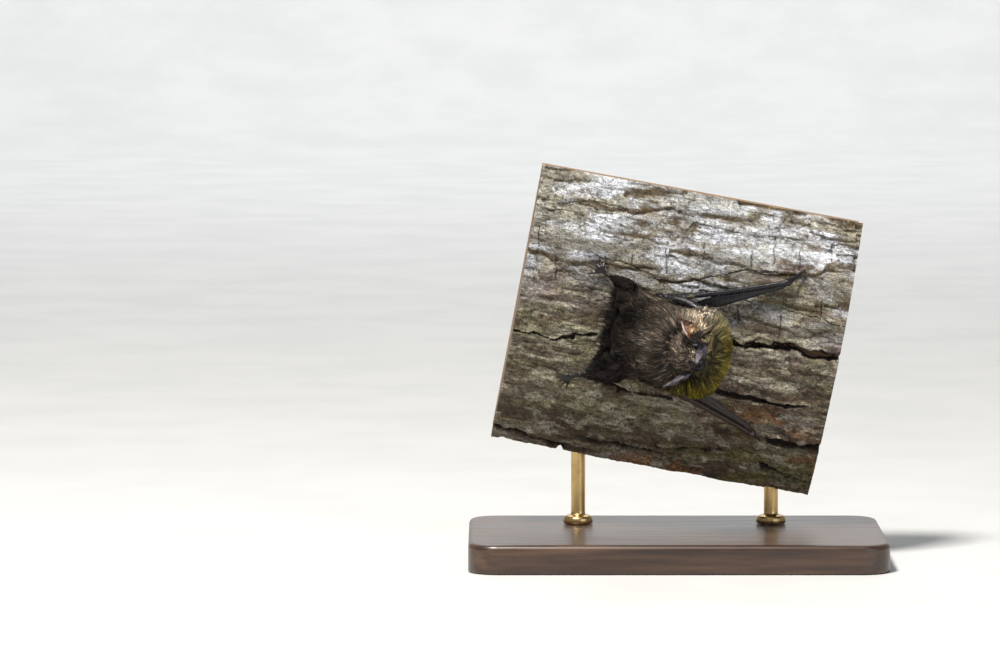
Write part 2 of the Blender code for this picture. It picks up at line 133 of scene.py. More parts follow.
def bark_n(v):
    """Height of the smooth trunk at a distance v across it."""
    return np.sqrt(TRUNK_RADIUS**2 - np.asarray(v, float) ** 2) - TRUNK_RADIUS


print("feet stand at", np.round(ORIGIN, 4).tolist(), "left eye at", np.round(spot("eye_left"), 1).tolist())

# %% [markdown]
# ## Camera
#
# The bat is watched through a long lens from 1.7 m away, a few degrees above the horizontal. A long
# lens keeps the limbs in proportion, as a short one would swell the nose, which is nearest. The
# feet are a little right of the middle of the frame.

# %% Camera
CAMERA_RAISE = math.radians(5.0)
CAMERA_AWAY = 1.7
FEET_RIGHT_OF_MIDDLE = 26.8
FEET_ABOVE_MIDDLE = 3.4
LENS_LENGTH = 200
FILM_WIDTH = 36

camera_back = np.array([0, -math.cos(CAMERA_RAISE), math.sin(CAMERA_RAISE)])
camera_up = np.array([0, math.sin(CAMERA_RAISE), math.cos(CAMERA_RAISE)])
aim = ORIGIN - level_way * FEET_RIGHT_OF_MIDDLE * MM - camera_up * FEET_ABOVE_MIDDLE * MM

lens = bpy.data.cameras.new("camera")
lens.lens = LENS_LENGTH
lens.sensor_width = FILM_WIDTH
lens.clip_start = 0.05
camera = bpy.data.objects.new("camera", lens)
bpy.context.scene.collection.objects.link(camera)
turn = Matrix(np.array([level_way, camera_up, camera_back]).T.tolist()).to_4x4()
turn.translation = aim + camera_back * CAMERA_AWAY
camera.matrix_world = turn
bpy.context.scene.camera = camera
print("camera height above the floor:", round(turn.translation.z, 3), "m")

# %% [markdown]
# ## Light
#
# The bat is lit from high above its left side, so light rakes over the bark and picks out the
# relief, while the underside of the trunk falls into shade. One warm panel does that. A weak cool
# panel on the right keeps the shadows open, and a third one behind the model lights the backdrop,
# so that the card stays pale without washing out the fur.

# %% Lights, surround and floor
scene = bpy.context.scene
scene.view_settings.view_transform = "Standard"
scene.view_settings.look = "None"


def panel(name, place, size, watts, colour, target=None):
    """A square soft light at a place counted from the bat, aimed at the bat or at a world point."""
    light = bpy.data.lights.new(name, "AREA")
    light.size = size
    light.energy = watts
    light.color = colour
    lamp = bpy.data.objects.new(name, light)
    scene.collection.objects.link(lamp)
    bat = to_world([25, 0, 10])
    place = bat + np.array(place)
    back = place - (bat if target is None else np.array(target))
    back /= np.linalg.norm(back)
    side = np.cross([0, 0.01, 1], back)
    side /= np.linalg.norm(side)
    pose = Matrix(np.array([side, np.cross(back, side), back]).T.tolist()).to_4x4()
    pose.translation = place
    lamp.matrix_world = pose


panel("key_panel", (-0.34, -0.50, 1.12), 0.22, 27.0, (1.0, 0.95, 0.88))
panel("fill_panel", (0.9, -1.1, 0.2), 0.9, 4.4, (0.84, 0.91, 1.0))
panel("backdrop_panel", (0.0, 2.0, 1.9), 1.6, 42.0, (1.0, 1.0, 1.0), (0.0, 3.0, 0.2))

world = bpy.data.worlds.new("surround")
scene.world = world
world.use_nodes = True
surround = world.node_tree.nodes["Background"].inputs
surround["Color"].default_value = (0.86, 0.88, 0.9, 1)
surround["Strength"].default_value = 0.29

# %% [markdown]
# ## Shader arithmetic
#
# A procedural finish is mostly sums and products of noise. Written node by node it is hard to
# read, so a small class wraps a socket, and Python's own operators add the Math nodes. Colours are
# blended with Mix nodes, because a Math node would turn them grey. Every other node comes from
# one method, which takes the node's type, its settings and then its inputs.


# %% Shader helpers
class Wire:
    """An output socket that can be added, multiplied or raised to a power like a number."""

    def __init__(self, finish, socket):
        self.finish = finish
        self.socket = socket

    def combine(self, operation, first, second):
        return self.finish.node("ShaderNodeMath", {"operation": operation}, {0: first, 1: second})

    def __add__(self, other):
        return self.combine("ADD", self, other)

    __radd__ = __add__

    def __mul__(self, other):
        return self.combine("MULTIPLY", self, other)

    __rmul__ = __mul__

    def __sub__(self, other):
        return self.combine("SUBTRACT", self, other)

    def __rsub__(self, other):
        return self.combine("SUBTRACT", other, self)

    def __pow__(self, other):
        return self.combine("POWER", self, other)

    def ramp(self, low, high, start=0.0, end=1.0):
        """A soft step from start to end while this value goes from low to high."""
        settings = {"interpolation_type": "SMOOTHSTEP"}
        inputs = {"Value": self, "From Min": low, "From Max": high, "To Min": start, "To Max": end}
        return self.finish.node("ShaderNodeMapRange", settings, inputs)


class Finish:
    """A material under construction."""

    def __init__(self, name, **constants):
        self.material = bpy.data.materials.new(name)
        self.material.use_nodes = True
        self.tree = self.material.node_tree
        self.shader = self.tree.nodes["Principled BSDF"]
        for socket, value in constants.items():
            self.shader.inputs[socket.replace("_", " ")].default_value = value

    def node(self, kind, settings=None, inputs=None, output=0):
        made = self.tree.nodes.new(kind)
        for name, value in (settings or {}).items():
            setattr(made, name, value)
        for name, value in (inputs or {}).items():
            self.feed(made.inputs[name], value)
        return Wire(self, made.outputs[output])

    def feed(self, socket, value):
        if isinstance(value, Wire):
            self.tree.links.new(value.socket, socket)
        elif isinstance(value, tuple) and len(value) == 3 and len(socket.default_value) == 4:
            socket.default_value = (*value, 1.0)
        else:
            socket.default_value = value

    def place(self):
        return self.node("ShaderNodeTexCoord", output="Object")

    def noise(self, millimetres, detail=3.0, rough=0.55, stretch=(1, 1, 1), output="Fac"):
        """Noise whose features are about so many millimetres across."""
        scale = tuple(s / (millimetres * MM) for s in stretch)
        spread = self.node(
            "ShaderNodeVectorMath", {"operation": "MULTIPLY"}, {0: self.place(), 1: scale}, "Vector"
        )
        inputs = {"Vector": spread, "Scale": 1.0, "Detail": detail, "Roughness": rough}
        return self.node("ShaderNodeTexNoise", None, inputs, output)

    def painted(self, attribute):
        """The colour that was painted on the mesh's vertices."""
        return self.node("ShaderNodeAttribute", {"attribute_name": attribute}, None, "Color")

    def mix(self, first, second, share, blend="MIX"):
        settings = {"data_type": "RGBA", "blend_type": blend, "clamp_factor": True}
        return self.node("ShaderNodeMix", settings, {0: share, 6: first, 7: second}, 2)

    def shade(self, colour, factor):
        """A colour made lighter or darker by a number."""
        grey = self.node("ShaderNodeCombineXYZ", None, {"X": factor, "Y": factor, "Z": factor})
        return self.mix(colour, grey, 1.0, "MULTIPLY")

    def bump(self, height, millimetres, strength=1.0):
        """Relief of so many millimetres in the finish."""
        inputs = {"Height": height, "Distance": millimetres * MM, "Strength": strength}
        self.feed(self.shader.inputs["Normal"], self.node("ShaderNodeBump", None, inputs, "Normal"))

    def set(self, **sockets):
        """Feed the named inputs of the shader, and give the material back."""
        for name, value in sockets.items():
            self.feed(self.shader.inputs[name.replace("_", " ")], value)
        return self.material


# %% [markdown]
# ## Numbers to meshes
#
# A coat has more than a hundred thousand tufts, so meshes are made from whole NumPy arrays at once and not
# vertex by vertex. One function takes local millimetres and returns a piece that rides on the
# frame's only body.


# %% Mesh helpers
SHARP_EDGE = math.radians(50)


def piece(name, points, faces, finish, slot, caps=(), painted=None, in_world=False):
    """A mesh object from an array of triangles or quads, and caps with any number of corners."""
    faces = np.asarray(faces, np.int32)
    sizes = [faces.shape[1]] * len(faces) + [len(cap) for cap in caps]
    starts = np.cumsum([0] + sizes[:-1])
    loops = np.concatenate([faces.ravel(), *caps]).astype(np.int32)
    mesh = bpy.data.meshes.new(name)
    mesh.vertices.add(len(points))
    placed = np.asarray(points) if in_world else to_world(points)
    mesh.vertices.foreach_set("co", placed.astype(np.float32).ravel())
    mesh.loops.add(len(loops))
    mesh.loops.foreach_set("vertex_index", loops)
    mesh.polygons.add(len(starts))
    mesh.polygons.foreach_set("loop_start", np.array(starts, np.int32))
    mesh.update(calc_edges=True)
    for attribute, colours in (painted or {}).items():
        layer = mesh.color_attributes.new(attribute, "FLOAT_COLOR", "POINT")
        full = np.ones((len(points), 4), np.float32)
        full[:, :3] = colours
        layer.data.foreach_set("color", full.ravel())
    mesh.materials.append(finish)
    mesh.shade_smooth()
    if len(caps):
        mesh.set_sharp_from_angle(angle=SHARP_EDGE)
    made = bpy.data.objects.new(name, mesh)
    scene.collection.objects.link(made)
    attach(made, "root")
    return made


def unit(vectors):
    """The vectors, each made one long."""
    return vectors / np.maximum(np.linalg.norm(vectors, axis=-1, keepdims=True), 1e-9)


def soft_step(low, high, value):
    """A soft step from 0 to 1 while the value goes from low to high. High may be the smaller one."""
    share = np.clip((np.asarray(value, float) - low) / (np.asarray(high, float) - low), 0, 1)
    return share * share * (3 - 2 * share)


def spline(rows, steps):
    """Catmull-Rom points through rows, steps of them, evenly along the row numbers."""
    rows = np.asarray(rows, float)
    place = np.linspace(0, len(rows) - 1, steps)
    start = np.minimum(place.astype(int), len(rows) - 2)
    t = (place - start)[:, None]
    a, b = rows[np.maximum(start - 1, 0)], rows[start]
    c, d = rows[start + 1], rows[np.minimum(start + 2, len(rows) - 1)]
    bend = (2 * a - 5 * b + 4 * c - d) / 2 * t**2 + (3 * b - a - 3 * c + d) / 2 * t**3
    return b + (c - a) / 2 * t + bend


def lathe_faces(rings, count):
    """Quads between rings of count vertices each, and a fan of quads over both ends."""
    k = np.arange(count)
    after = (k + 1) % count
    faces = [np.stack([r * count + k, r * count + after, (r + 1) * count + after, (r + 1) * count + k], 1)
             for r in range(rings - 1)]
    half = count // 2
    for base, flip in ((0, True), ((rings - 1) * count, False)):
        j = np.arange(half - 1)
        cap = base + np.stack([j, j + 1, count - 2 - j, (count - 1 - j) % count], 1)
        faces.append(cap[:, ::-1] if flip else cap)
    return np.concatenate(faces)


def tube(points, radii, steps=24, count=16, flatness=1.0):
    """A closed round limb through points with a radius at each, tapering to rounded ends."""
    rows = spline(np.column_stack([np.asarray(points, float), np.asarray(radii, float)]), steps)
    centres, radius = rows[:, :3], rows[:, 3].copy()
    ends = np.minimum(np.arange(steps), np.arange(steps)[::-1])
    radius = radius * np.where(ends == 0, 0.45, np.where(ends == 1, 0.85, 1.0))
    along = unit(np.gradient(centres, axis=0))
    side = unit(np.cross(along, [0.03, 0.05, 1.0]))
    up = np.cross(along, side)
    angle = np.linspace(0, math.tau, count, endpoint=False)
    sideways = side[:, None] * np.cos(angle)[None, :, None]
    around = sideways + up[:, None] * (flatness * np.sin(angle))[None, :, None]
    made = centres[:, None] + around * radius[:, None, None]
    return made.reshape(-1, 3), lathe_faces(steps, count)


def leaf(surface, across, along, thickness):
    """A closed thin sheet over surface(a, b), where a and b run from 0 to 1."""
    a, b = np.meshgrid(np.linspace(0, 1, across), np.linspace(0, 1, along), indexing="ij")
    middle = surface(a, b)
    way = unit(np.cross(np.gradient(middle, axis=0), np.gradient(middle, axis=1)))
    depth = np.asarray(thickness(a, b) if callable(thickness) else thickness, float)
    depth = np.broadcast_to(depth, a.shape)[..., None] / 2
    points = np.concatenate([(middle + way * depth).reshape(-1, 3), (middle - way * depth).reshape(-1, 3)])
    index = np.arange(across * along).reshape(across, along)
    top = np.stack([index[:-1, :-1], index[1:, :-1], index[1:, 1:], index[:-1, 1:]], -1).reshape(-1, 4)
    rim = np.concatenate([index[:, 0], index[-1, 1:], index[-2::-1, -1], index[0, -2:0:-1]])
    after = np.roll(rim, -1)
    low = across * along
    edge = np.stack([after, rim, rim + low, after + low], 1)
    return points, np.concatenate([top, top[:, ::-1] + low, edge])


def blob(centre, radii, steps=14, count=18):
    """A closed egg shape."""
    lat = np.linspace(0.12, math.pi - 0.12, steps)
    angle = np.linspace(0, math.tau, count, endpoint=False)
    x = np.outer(np.sin(lat), np.cos(angle))
    y = np.outer(np.sin(lat), np.sin(angle))
    z = np.outer(np.cos(lat), np.ones(count))
    points = np.stack([x * radii[0], y * radii[1], z * radii[2]], -1).reshape(-1, 3)
    return points + np.asarray(centre, float), lathe_faces(steps, count)[:, ::-1]


# %% [markdown]
# ## From solids to flesh
#
# The frame's solids reach out to the tips of the coat and are parted by thin gaps. Real skin is one
# continuous surface a few millimetres further in. Three steps turn one into the other: each solid
# swells a little so that the gaps close, a voxel remesh melts them all into one surface, and the
# result shrinks back along its own normals by the depth of the coat.
#
# Sculpting the same body by hand would be slower, and it would not follow a change in the frame.


# %% Melting solids together
def solid(name, swell=0.0):
    """A solid of the frame in local millimetres, with its split corners joined, as triangles."""
    builder = bmesh.new()
    builder.from_mesh(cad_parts[name].data)
    bmesh.ops.remove_doubles(builder, verts=builder.verts, dist=1e-6)
    bmesh.ops.triangulate(builder, faces=builder.faces)
    bmesh.ops.recalc_face_normals(builder, faces=builder.faces)
    builder.normal_update()
    points = np.array([vert.co for vert in builder.verts])
    ways = np.array([vert.normal for vert in builder.verts])
    faces = np.array([[vert.index for vert in face.verts] for face in builder.faces])
    builder.free()
    return to_local(points) + ways @ AXES.T * swell, faces


def face_ways(points, faces):
    """Area-weighted normals of the faces."""
    corner = points[faces]
    if faces.shape[1] == 4:
        return np.cross(corner[:, 2] - corner[:, 0], corner[:, 3] - corner[:, 1]) / 2
    return np.cross(corner[:, 1] - corner[:, 0], corner[:, 2] - corner[:, 0]) / 2


def vertex_ways(points, faces):
    """The outward unit vector at every vertex."""
    ways = face_ways(points, faces)
    total = np.zeros_like(points)
    for k in range(faces.shape[1]):
        for axis in range(3):
            total[:, axis] += np.bincount(faces[:, k], ways[:, axis], len(points))
    return unit(total)


def swollen(lump, distance):
    """A shape with its surface moved outwards."""
    points, faces = lump
    return points + vertex_ways(points, faces) * distance, faces


def melt(lumps, voxel):
    """One closed quad surface around all the lumps."""
    mesh = bpy.data.meshes.new("melting")
    points, faces, start = [], [], 0
    for lump_points, lump_faces in lumps:
        points.append(lump_points)
        faces += (lump_faces + start).tolist()
        start += len(lump_points)
    mesh.from_pydata(np.concatenate(points).tolist(), [], faces)
    holder = bpy.data.objects.new("melting", mesh)
    scene.collection.objects.link(holder)
    remesh = holder.modifiers.new("voxels", "REMESH")
    remesh.mode = "VOXEL"
    remesh.voxel_size = voxel
    remesh.adaptivity = 0.0
    bpy.context.view_layer.update()
    result = holder.evaluated_get(bpy.context.evaluated_depsgraph_get()).to_mesh()
    flat = np.zeros(len(result.vertices) * 3)
    result.vertices.foreach_get("co", flat)
    corners = np.zeros(len(result.loops), np.int32)
    result.loops.foreach_get("vertex_index", corners)
    sizes = np.zeros(len(result.polygons), np.int32)
    result.polygons.foreach_get("loop_total", sizes)
    assert (sizes == 4).all()
    bpy.data.objects.remove(holder)
    bpy.data.meshes.remove(mesh)
    return flat.reshape(-1, 3), corners.reshape(-1, 4)


def relaxed(lump, times, share=0.5):
    """The surface with every vertex drawn towards the middle of its neighbours."""
    points, faces = lump
    pairs = np.concatenate([faces[:, [k, (k + 1) % 4]] for k in range(4)])
    pairs = np.concatenate([pairs, pairs[:, ::-1]])
    degree = np.bincount(pairs[:, 0], minlength=len(points))[:, None]
    for _ in range(times):
        total = np.stack([np.bincount(pairs[:, 0], points[pairs[:, 1], a], len(points)) for a in range(3)], 1)
        points = points + (total / degree - points) * share
    return points, faces


# %% [markdown]
# ### Where the head points
#
# Muzzle, lids and the lie of the fur are all easier in the head's own directions: along it towards
# the nose, across it, and up towards the crown. They come from the neck and head solids.

# %% Head directions
head_solid = to_local(node_corners("head"))
neck_middle = spot("neck")
nose_tip = head_solid[np.argmax(np.linalg.norm(head_solid - neck_middle, axis=1))]
head_along = unit(np.array([nose_tip[0] - neck_middle[0], 0, nose_tip[2] - neck_middle[2]]))
head_crown = np.array([-head_along[2], 0, head_along[0]])
eye_spots = {"left": spot("eye_left"), "right": spot("eye_right")}


def in_head(points):
    """Distance back from the nose tip, across, and up towards the crown."""
    gap = np.asarray(points, float) - nose_tip
    return -(gap @ head_along), gap[..., 1], gap @ head_crown


eye_back = round(float(in_head(eye_spots["left"])[0]), 2)
print("nose tip", np.round(nose_tip, 2).tolist(), "eyes lie", eye_back, "mm back")

# %% [markdown]
# ### How deep the coat is
#
# Fur is longest on the throat, where it stands out as a fringe, and shortest on the snout. The same
# rule says how far the skin lies inside the solids and, later, how long each tuft is.


# %% Coat depth
def on_head(points):
    """1 on the head, 0 on the body, with a soft border round the neck."""
    back, across, up = in_head(points)
    away = np.hypot(across, up + 0.3)
    return soft_step(6.4, 5.2, away) * soft_step(13.6, 11.8, back)


def coat_depth(points):
    """How many millimetres of coat lie over the flesh."""
    back = in_head(points)[0]
    face = np.interp(back, [0.8, 3.0, 5.5, 8.5, 12.0], [0.02, 0.12, 0.4, 1.0, 1.5])
    body = 2.1 + 1.1 * soft_step(33, 41, points[:, 0]) + 0.3 * soft_step(20, 28, points[:, 0])
    body = body - 0.6 * soft_step(13, 9, points[:, 0])
    head = on_head(points)
    return face * head + body * (1 - head)


SWELL = 0.3
core = melt([solid(name, SWELL) for name in ("chest", "abdomen", "neck", "head")], 0.4)
core = relaxed(core, 6)
core_points, core_faces = core
core = (core_points - vertex_ways(*core) * (coat_depth(core_points) + SWELL)[:, None], core_faces)
core = relaxed(core, 3)
print("flesh of head and trunk:", len(core[0]), "vertices")

# %% [markdown]
# ### Limbs, ears and membranes
#
# Arms, shanks and feet are bare, so their solids already are the skin. The upper arm and the thigh
# are hidden in fur and need only a slim core. Ears and membranes are drawn again as finer sheets
# that reach into the flesh, because a wing that stopped at the coat would float beside the body.
# The folded hand is a furled sheet with the finger bones showing through it as long ridges.


# %% Limb ends
def ends(name, share=0.12):
    """The two ends of a long solid, the one nearer the tail first."""
    points = to_local(node_corners(name))
    middle = points.mean(0)
    way = np.linalg.svd(points - middle, full_matrices=False)[2][0]
    place = (points - middle) @ way
    span = np.ptp(place)
    near, far = place < place.min() + span * share, place > place.max() - span * share
    return sorted([points[near].mean(0), points[far].mean(0)], key=lambda tip: tip[0])


SIDES = {"left": 1.0, "right": -1.0}
# ball of the foot as (u, v), and the way of each toe in degrees from straight back
TOE_LENGTH = 3.4
CLAW_ROOT = 3.2
CLAW_TIP = 4.75
SOLE_HEIGHT = 1.2
TOES = {
    "left": ((1.8, 16.4), (-19, 8, 35, 62, 88)),
    "right": ((-1.8, -17.4), (2, 19, 37, 58, 80)),
}
limb = {}
for side in SIDES:
    elbow, wrist = ends(f"forearm_{side}", 0.04)
    ankle, knee = ends(f"shank_{side}", 0.06)
    limb[side] = {
        "elbow": elbow,
        "wrist": wrist,
        "shoulder": ends(f"upper_arm_{side}")[1],
        "ankle": ankle,
        "knee": knee,
        "hip": min(ends(f"thigh_{side}"), key=lambda tip: abs(tip[1])),
    }
    print(side, {part: np.round(place, 1).tolist() for part, place in limb[side].items()})


# %% Ears
EAR_LENGTH = 9.2
EAR_HALF_WIDTH = 2.35
EAR_OPEN = {"left": 0.55, "right": 0.02}  # how far each ear turns its inside out of the bark
EAR_WAY = {"left": (-0.78, 0.60, 0.35), "right": (-0.66, -0.68, 0.35)}


def ear_frame(side):
    """Root, way to the tip, way that the cup faces, and way across the ear."""
    mirror = SIDES[side]
    points = to_local(node_corners(f"ear_{side}"))
    tip = points[np.argmax(np.linalg.norm(points - neck_middle, axis=1))]
    to_tip = unit(np.array(EAR_WAY[side]))
    facing = np.array([0.80, mirror * 0.5, 0.16]) + np.array([0, 0, 1.0]) * EAR_OPEN[side]
    facing = unit(facing - to_tip * (facing @ to_tip))
    return tip - to_tip * EAR_LENGTH, to_tip, facing, np.cross(facing, to_tip)


def ear_sheet(side):
    """The thin curved blade of one ear."""
    root, to_tip, facing, across_way = ear_frame(side)

    def surface(a, b):
        along = b * 1.16 - 0.16
        across = 2 * a - 1
        height = np.clip(along, 0, 1)
        half = EAR_HALF_WIDTH * (0.12 + 1.25 * np.sin(math.pi * (0.17 + 0.83 * height) ** 0.92) ** 0.85)
        half = half * np.interp(height, [0, 0.15, 0.35], [0.62, 0.9, 1.0])
        half = half * (1.05 - 0.25 * height) * (1 - 0.74 * soft_step(0.55, 0.9, height))
        half = half * np.where(across > 0, 1.22 + 0.4 * soft_step(0.5, 0.1, height), 0.52)
        cup = 1.75 * (1 - height) ** 0.6 * across**2
        cup = cup + 0.10 * np.cos(26 * height) * (1 - across**2) * (1 - height)
        curl = 0.75 * height**2
        return (
            root
            + to_tip * (EAR_LENGTH * along)[..., None]
            + across_way * (half * across + 0.25 * height**2)[..., None]
            + facing * (cup - curl)[..., None]
        )

    def thickness(a, b):
        return 0.42 + 0.3 * (1 - b) + 0.18 * np.abs(2 * a - 1) ** 4

    return leaf(surface, 26, 44, thickness)


def tragus(side):
    """The small blunt lobe in front of the ear's opening."""
    root, to_tip, facing, across_way = ear_frame(side)
    foot = root + facing * 0.9 + to_tip * 0.1
    return tube([foot, foot + to_tip * 0.5 + facing * 0.3, foot + to_tip * 0.9 + facing * 0.25],
                [0.34, 0.30, 0.22], 12, 12, 0.6)


# %% Folded wings
# each finger's place across the furled hand, its rise over it and its radius
FINGERS = ((-0.62, 0.75, 0.36), (-0.1, 0.95, 0.4), (0.45, 0.8, 0.36), (0.8, 0.35, 0.3))


def finger_ridges(side):
    """Four long finger bones laid back from the wrist over the furled membrane."""
    points = to_local(node_corners(f"folded_wing_{side}"))
    elbow, wrist = limb[side]["elbow"], limb[side]["wrist"]
    back = unit(elbow - wrist)
    side_way = unit(np.cross([0, 0, 1.0], back))
    reach = (points - wrist) @ back
    stops = np.linspace(0.4, reach.max() - 1.2, 7)
    slices = [points[np.abs(reach - stop) < 2.6] for stop in stops]
    middle = np.array([(near.min(0) + near.max(0)) / 2 for near in slices])
    half = np.array([np.ptp(near @ side_way) / 2 for near in slices])
    made = []
    for number, (shift, lift, radius) in enumerate(FINGERS):
        path = middle + side_way * (shift * half)[:, None]
        path[:, 2] += lift * np.interp(stops, [0, 6, 30], [0.5, 0.8, 1.15]) - 0.1
        path += side_way * (0.08 * np.sin(stops * 0.7 + number * 2))[:, None]
        made.append(tube(path, np.full(len(path), radius), 40, 10))
    return made


# %% Membranes and hidden flesh
# the tail membrane's free edge: place from ankle to ankle, and how far along the trunk it lies
EDGE_PLACES = (-1, -0.69, -0.43, -0.16, 0.15, 0.39, 0.79, 1)
EDGE_REACH = (1.3, 4.0, 5.7, 6.0, 6.4, 7.0, 7.4, 4.9)


def tail_sheet():
    """The membrane between the legs, from ankle to ankle and up along both shanks."""

    def surface(a, b):
        span = 2 * a - 1
        left = (span > 0)[..., None]
        ankle = np.where(left, limb["left"]["ankle"], limb["right"]["ankle"]) + [0.4, 0, 0]
        knee = np.where(left, limb["left"]["knee"], limb["right"]["knee"]) + [1.5, 0, 0]
        leg = ankle + (knee - ankle) * b[..., None]
        near_leg = np.abs(span) ** 7
        hollow = 1 - 0.10 * np.sin(math.pi * b) * (1 - b)
        free_edge = np.interp(span, EDGE_PLACES, EDGE_REACH)
        u = free_edge + (14.0 - free_edge) * b
        u = u + (leg[..., 0] - u) * near_leg
        v = np.abs(leg[..., 1]) * span * hollow
        pleat = 0.2 * np.cos(15 * span + 2 * b) * (1 - b)
        n = bark_n(v) * 0.85 + 1.05 + pleat + 3.2 * b**2
        n = n + (leg[..., 2] - 0.5 - n) * near_leg * (0.25 + 0.75 * b)
        return np.stack([u, v, n], -1)

    return leaf(surface, 90, 26, lambda a, b: 0.42 + 0.25 * b)


def side_sheet(side):
    """The wing membrane between flank, arm and leg."""
    mirror = SIDES[side]
    elbow, knee = limb[side]["elbow"], limb[side]["knee"]

    def surface(a, b):
        u = knee[0] + 0.4 + (elbow[0] + 6.0 - knee[0]) * a
        outer = abs(knee[1]) + (abs(elbow[1]) + 0.4 - abs(knee[1])) * a - 1.1 * np.sin(math.pi * a)
        v = mirror * (7.0 + (outer - 7.0) * b)
        pleat = 0.2 * np.cos(13 * b + 3 * a)
        return np.stack([u, v, bark_n(v) * 0.8 + 1.7 + pleat + 1.6 * a * b + 1.2 * (1 - b)], -1)

    return leaf(surface, 50, 30, 0.5)


lumps = {kind: [] for kind in ("trunk", "fur_limb", "arm", "hand", "shank", "foot", "membrane", "ear")}
lumps["trunk"].append(core)
lumps["trunk"].append(blob((12.5, 0, 4.2), (4.5, 7.5, 2.0)))
lumps["membrane"] += [tail_sheet(), solid("tail", 0.05)]
for side, mirror in SIDES.items():
    elbow, wrist, shoulder, ankle, knee, hip = limb[side].values()
    lumps["trunk"].append(blob((19, mirror * 8.5, 5.0), (7.5, 3.4, 2.2)))
    lumps["trunk"].append(blob((11.0, mirror * 9.0, 2.9), (3.4, 4.4, 1.6)))
    arm_line = [shoulder * [1, 0.8, 1], (shoulder + elbow) / 2, elbow + [0.4, 0, 0.4]]
    upper_arm = tube(arm_line, [1.9, 1.6, 1.15])
    lumps["arm" if side == "left" else "fur_limb"].append(upper_arm)
    thigh_line = [hip * [1, 0.8, 1], (hip + knee) / 2, knee + [0, 0, -0.3]]
    lumps["fur_limb"].append(tube(thigh_line, [1.8, 1.4, 0.9]))
    lumps["arm"].append(solid(f"forearm_{side}"))
    lumps["arm"].append(blob(elbow + [0.2, 0, 0], (1.45, 1.2, 1.15)))
    lumps["arm"].append(blob(wrist + [0.6, mirror * 0.2, 0.1], (1.35, 1.1, 1.0)))
    lumps["hand"].append(solid(f"folded_wing_{side}", -0.12))
    lumps["hand"] += finger_ridges(side)
    thumb = ends(f"thumb_{side}", 0.2)
    thumb_path = [wrist + [0.4, mirror * 0.3, 0.2], thumb[0], thumb[0] * 0.25 + thumb[1] * 0.75]
    lumps["hand"].append(tube(thumb_path, [0.75, 0.6, 0.5]))
    lumps["shank"].append(solid(f"shank_{side}", -0.05))
    lumps["shank"].append(blob(knee, (1.3, 1.2, 1.2)))
    (ball_u, ball_v), angles = TOES[side]
    ball = np.array([ball_u, ball_v, bark_n(ball_v) + 1.6])
    lumps["foot"].append(tube([ankle, (ankle + ball) / 2, ball], [0.72, 0.66, 0.74], 14, 14, 0.7))
    for degrees in angles:
        angle = math.radians(degrees)
        way = np.array([-math.cos(angle), mirror * math.sin(angle), 0])
        knuckle, end = ball + way * 1.6 + [0, 0, 0.25], ball + way * TOE_LENGTH
        end[2] = bark_n(end[1]) + SOLE_HEIGHT
        lumps["foot"].append(tube([ball + way * 0.2, knuckle, end], [0.45, 0.34, 0.28], 16, 12))
    lumps["foot"].append(blob(ankle + [-0.35, mirror * 0.1, -0.1], (0.85, 0.75, 0.6)))
    lumps["membrane"].append(side_sheet(side))
    lumps["ear"] += [ear_sheet(side), tragus(side)]
print({kind: len(made) for kind, made in lumps.items()})

# %% [markdown]
# ### One skin
#
# All lumps melt together at a quarter of a millimetre. They are swollen first and the result is
# drawn in by the same amount, which fills the clefts between a limb and its membrane without
# making either thicker.

# %% Melt the skin
CLOSE = 0.2
SKIN_VOXEL = 0.24
everything = [swollen(lump, CLOSE) for kind in lumps.values() for lump in kind]
skin = relaxed(melt(everything, SKIN_VOXEL), 4)
skin_points, skin_faces = skin
skin_points = skin_points - vertex_ways(*skin) * CLOSE
print("skin:", len(skin_points), "vertices,", len(skin_faces) * 2, "triangles")

# %% [markdown]
# ### What each part of the skin is
#
# Colour and hair depend on the part, and melting has lost which vertex came from where. Each lump
# is sprinkled with marker points, and a vertex belongs to the nearest marker's part.


# %% Sort the skin into parts
def as_triangles(faces):
    """The faces as triangles, each quad cut in two."""
    return faces if faces.shape[1] == 3 else np.concatenate([faces[:, :3], faces[:, [0, 2, 3]]])


def scatter(triangles, sizes, count, dice):
    """Random places on triangles: the corners of each one's triangle, and the share of each corner."""
    chosen = dice.choice(len(triangles), count, p=sizes / sizes.sum())
    mix = np.sqrt(dice.random(count))[:, None]
    other = dice.random(count)[:, None]
    return triangles[chosen].T, (1 - mix, mix * (1 - other), mix * other)


def between(values, corners, shares):
    """Values at scattered places, from the values at the vertices."""
    return sum(values[corner] * share for corner, share in zip(corners, shares))


def nearest(leaders, points):
    """Index of the leader nearest to each point."""
    tree = KDTree(len(leaders))
    for index, leader in enumerate(leaders):
        tree.insert(leader, index)
    tree.balance()
    return np.array([tree.find(point)[1] for point in points])


MARKERS_PER_LUMP = 150
MARKERS_PER_SQUARE = 5  # on each square millimetre
dice = np.random.default_rng(7)
kinds = list(lumps)
markers, marker_kinds = [], []
for number, kind in enumerate(kinds):
    for points, faces in lumps[kind]:
        size = np.linalg.norm(face_ways(points, faces), axis=1).sum()
        triangles = as_triangles(faces)
        sizes = np.linalg.norm(face_ways(points, triangles), axis=1)
        count = int(MARKERS_PER_LUMP + size * MARKERS_PER_SQUARE)
        markers.append(between(points, *scatter(triangles, sizes, count, dice)))
        marker_kinds.append(np.full(count, number))
markers, marker_kinds = np.concatenate(markers), np.concatenate(marker_kinds)
skin_kind = marker_kinds[nearest(markers, skin_points)]
is_kind = {kind: skin_kind == number for number, kind in enumerate(kinds)}
print({kind: int(found.sum()) for kind, found in is_kind.items()})

# %% [markdown]
# ### Face
#
# The species is named for its nose: a long pointed snout that overhangs the lower lip. Nostrils,
# mouth and lids are far smaller than a voxel of the flesh, so they are pressed into the finished
# skin with smooth formulas in the head's own directions.


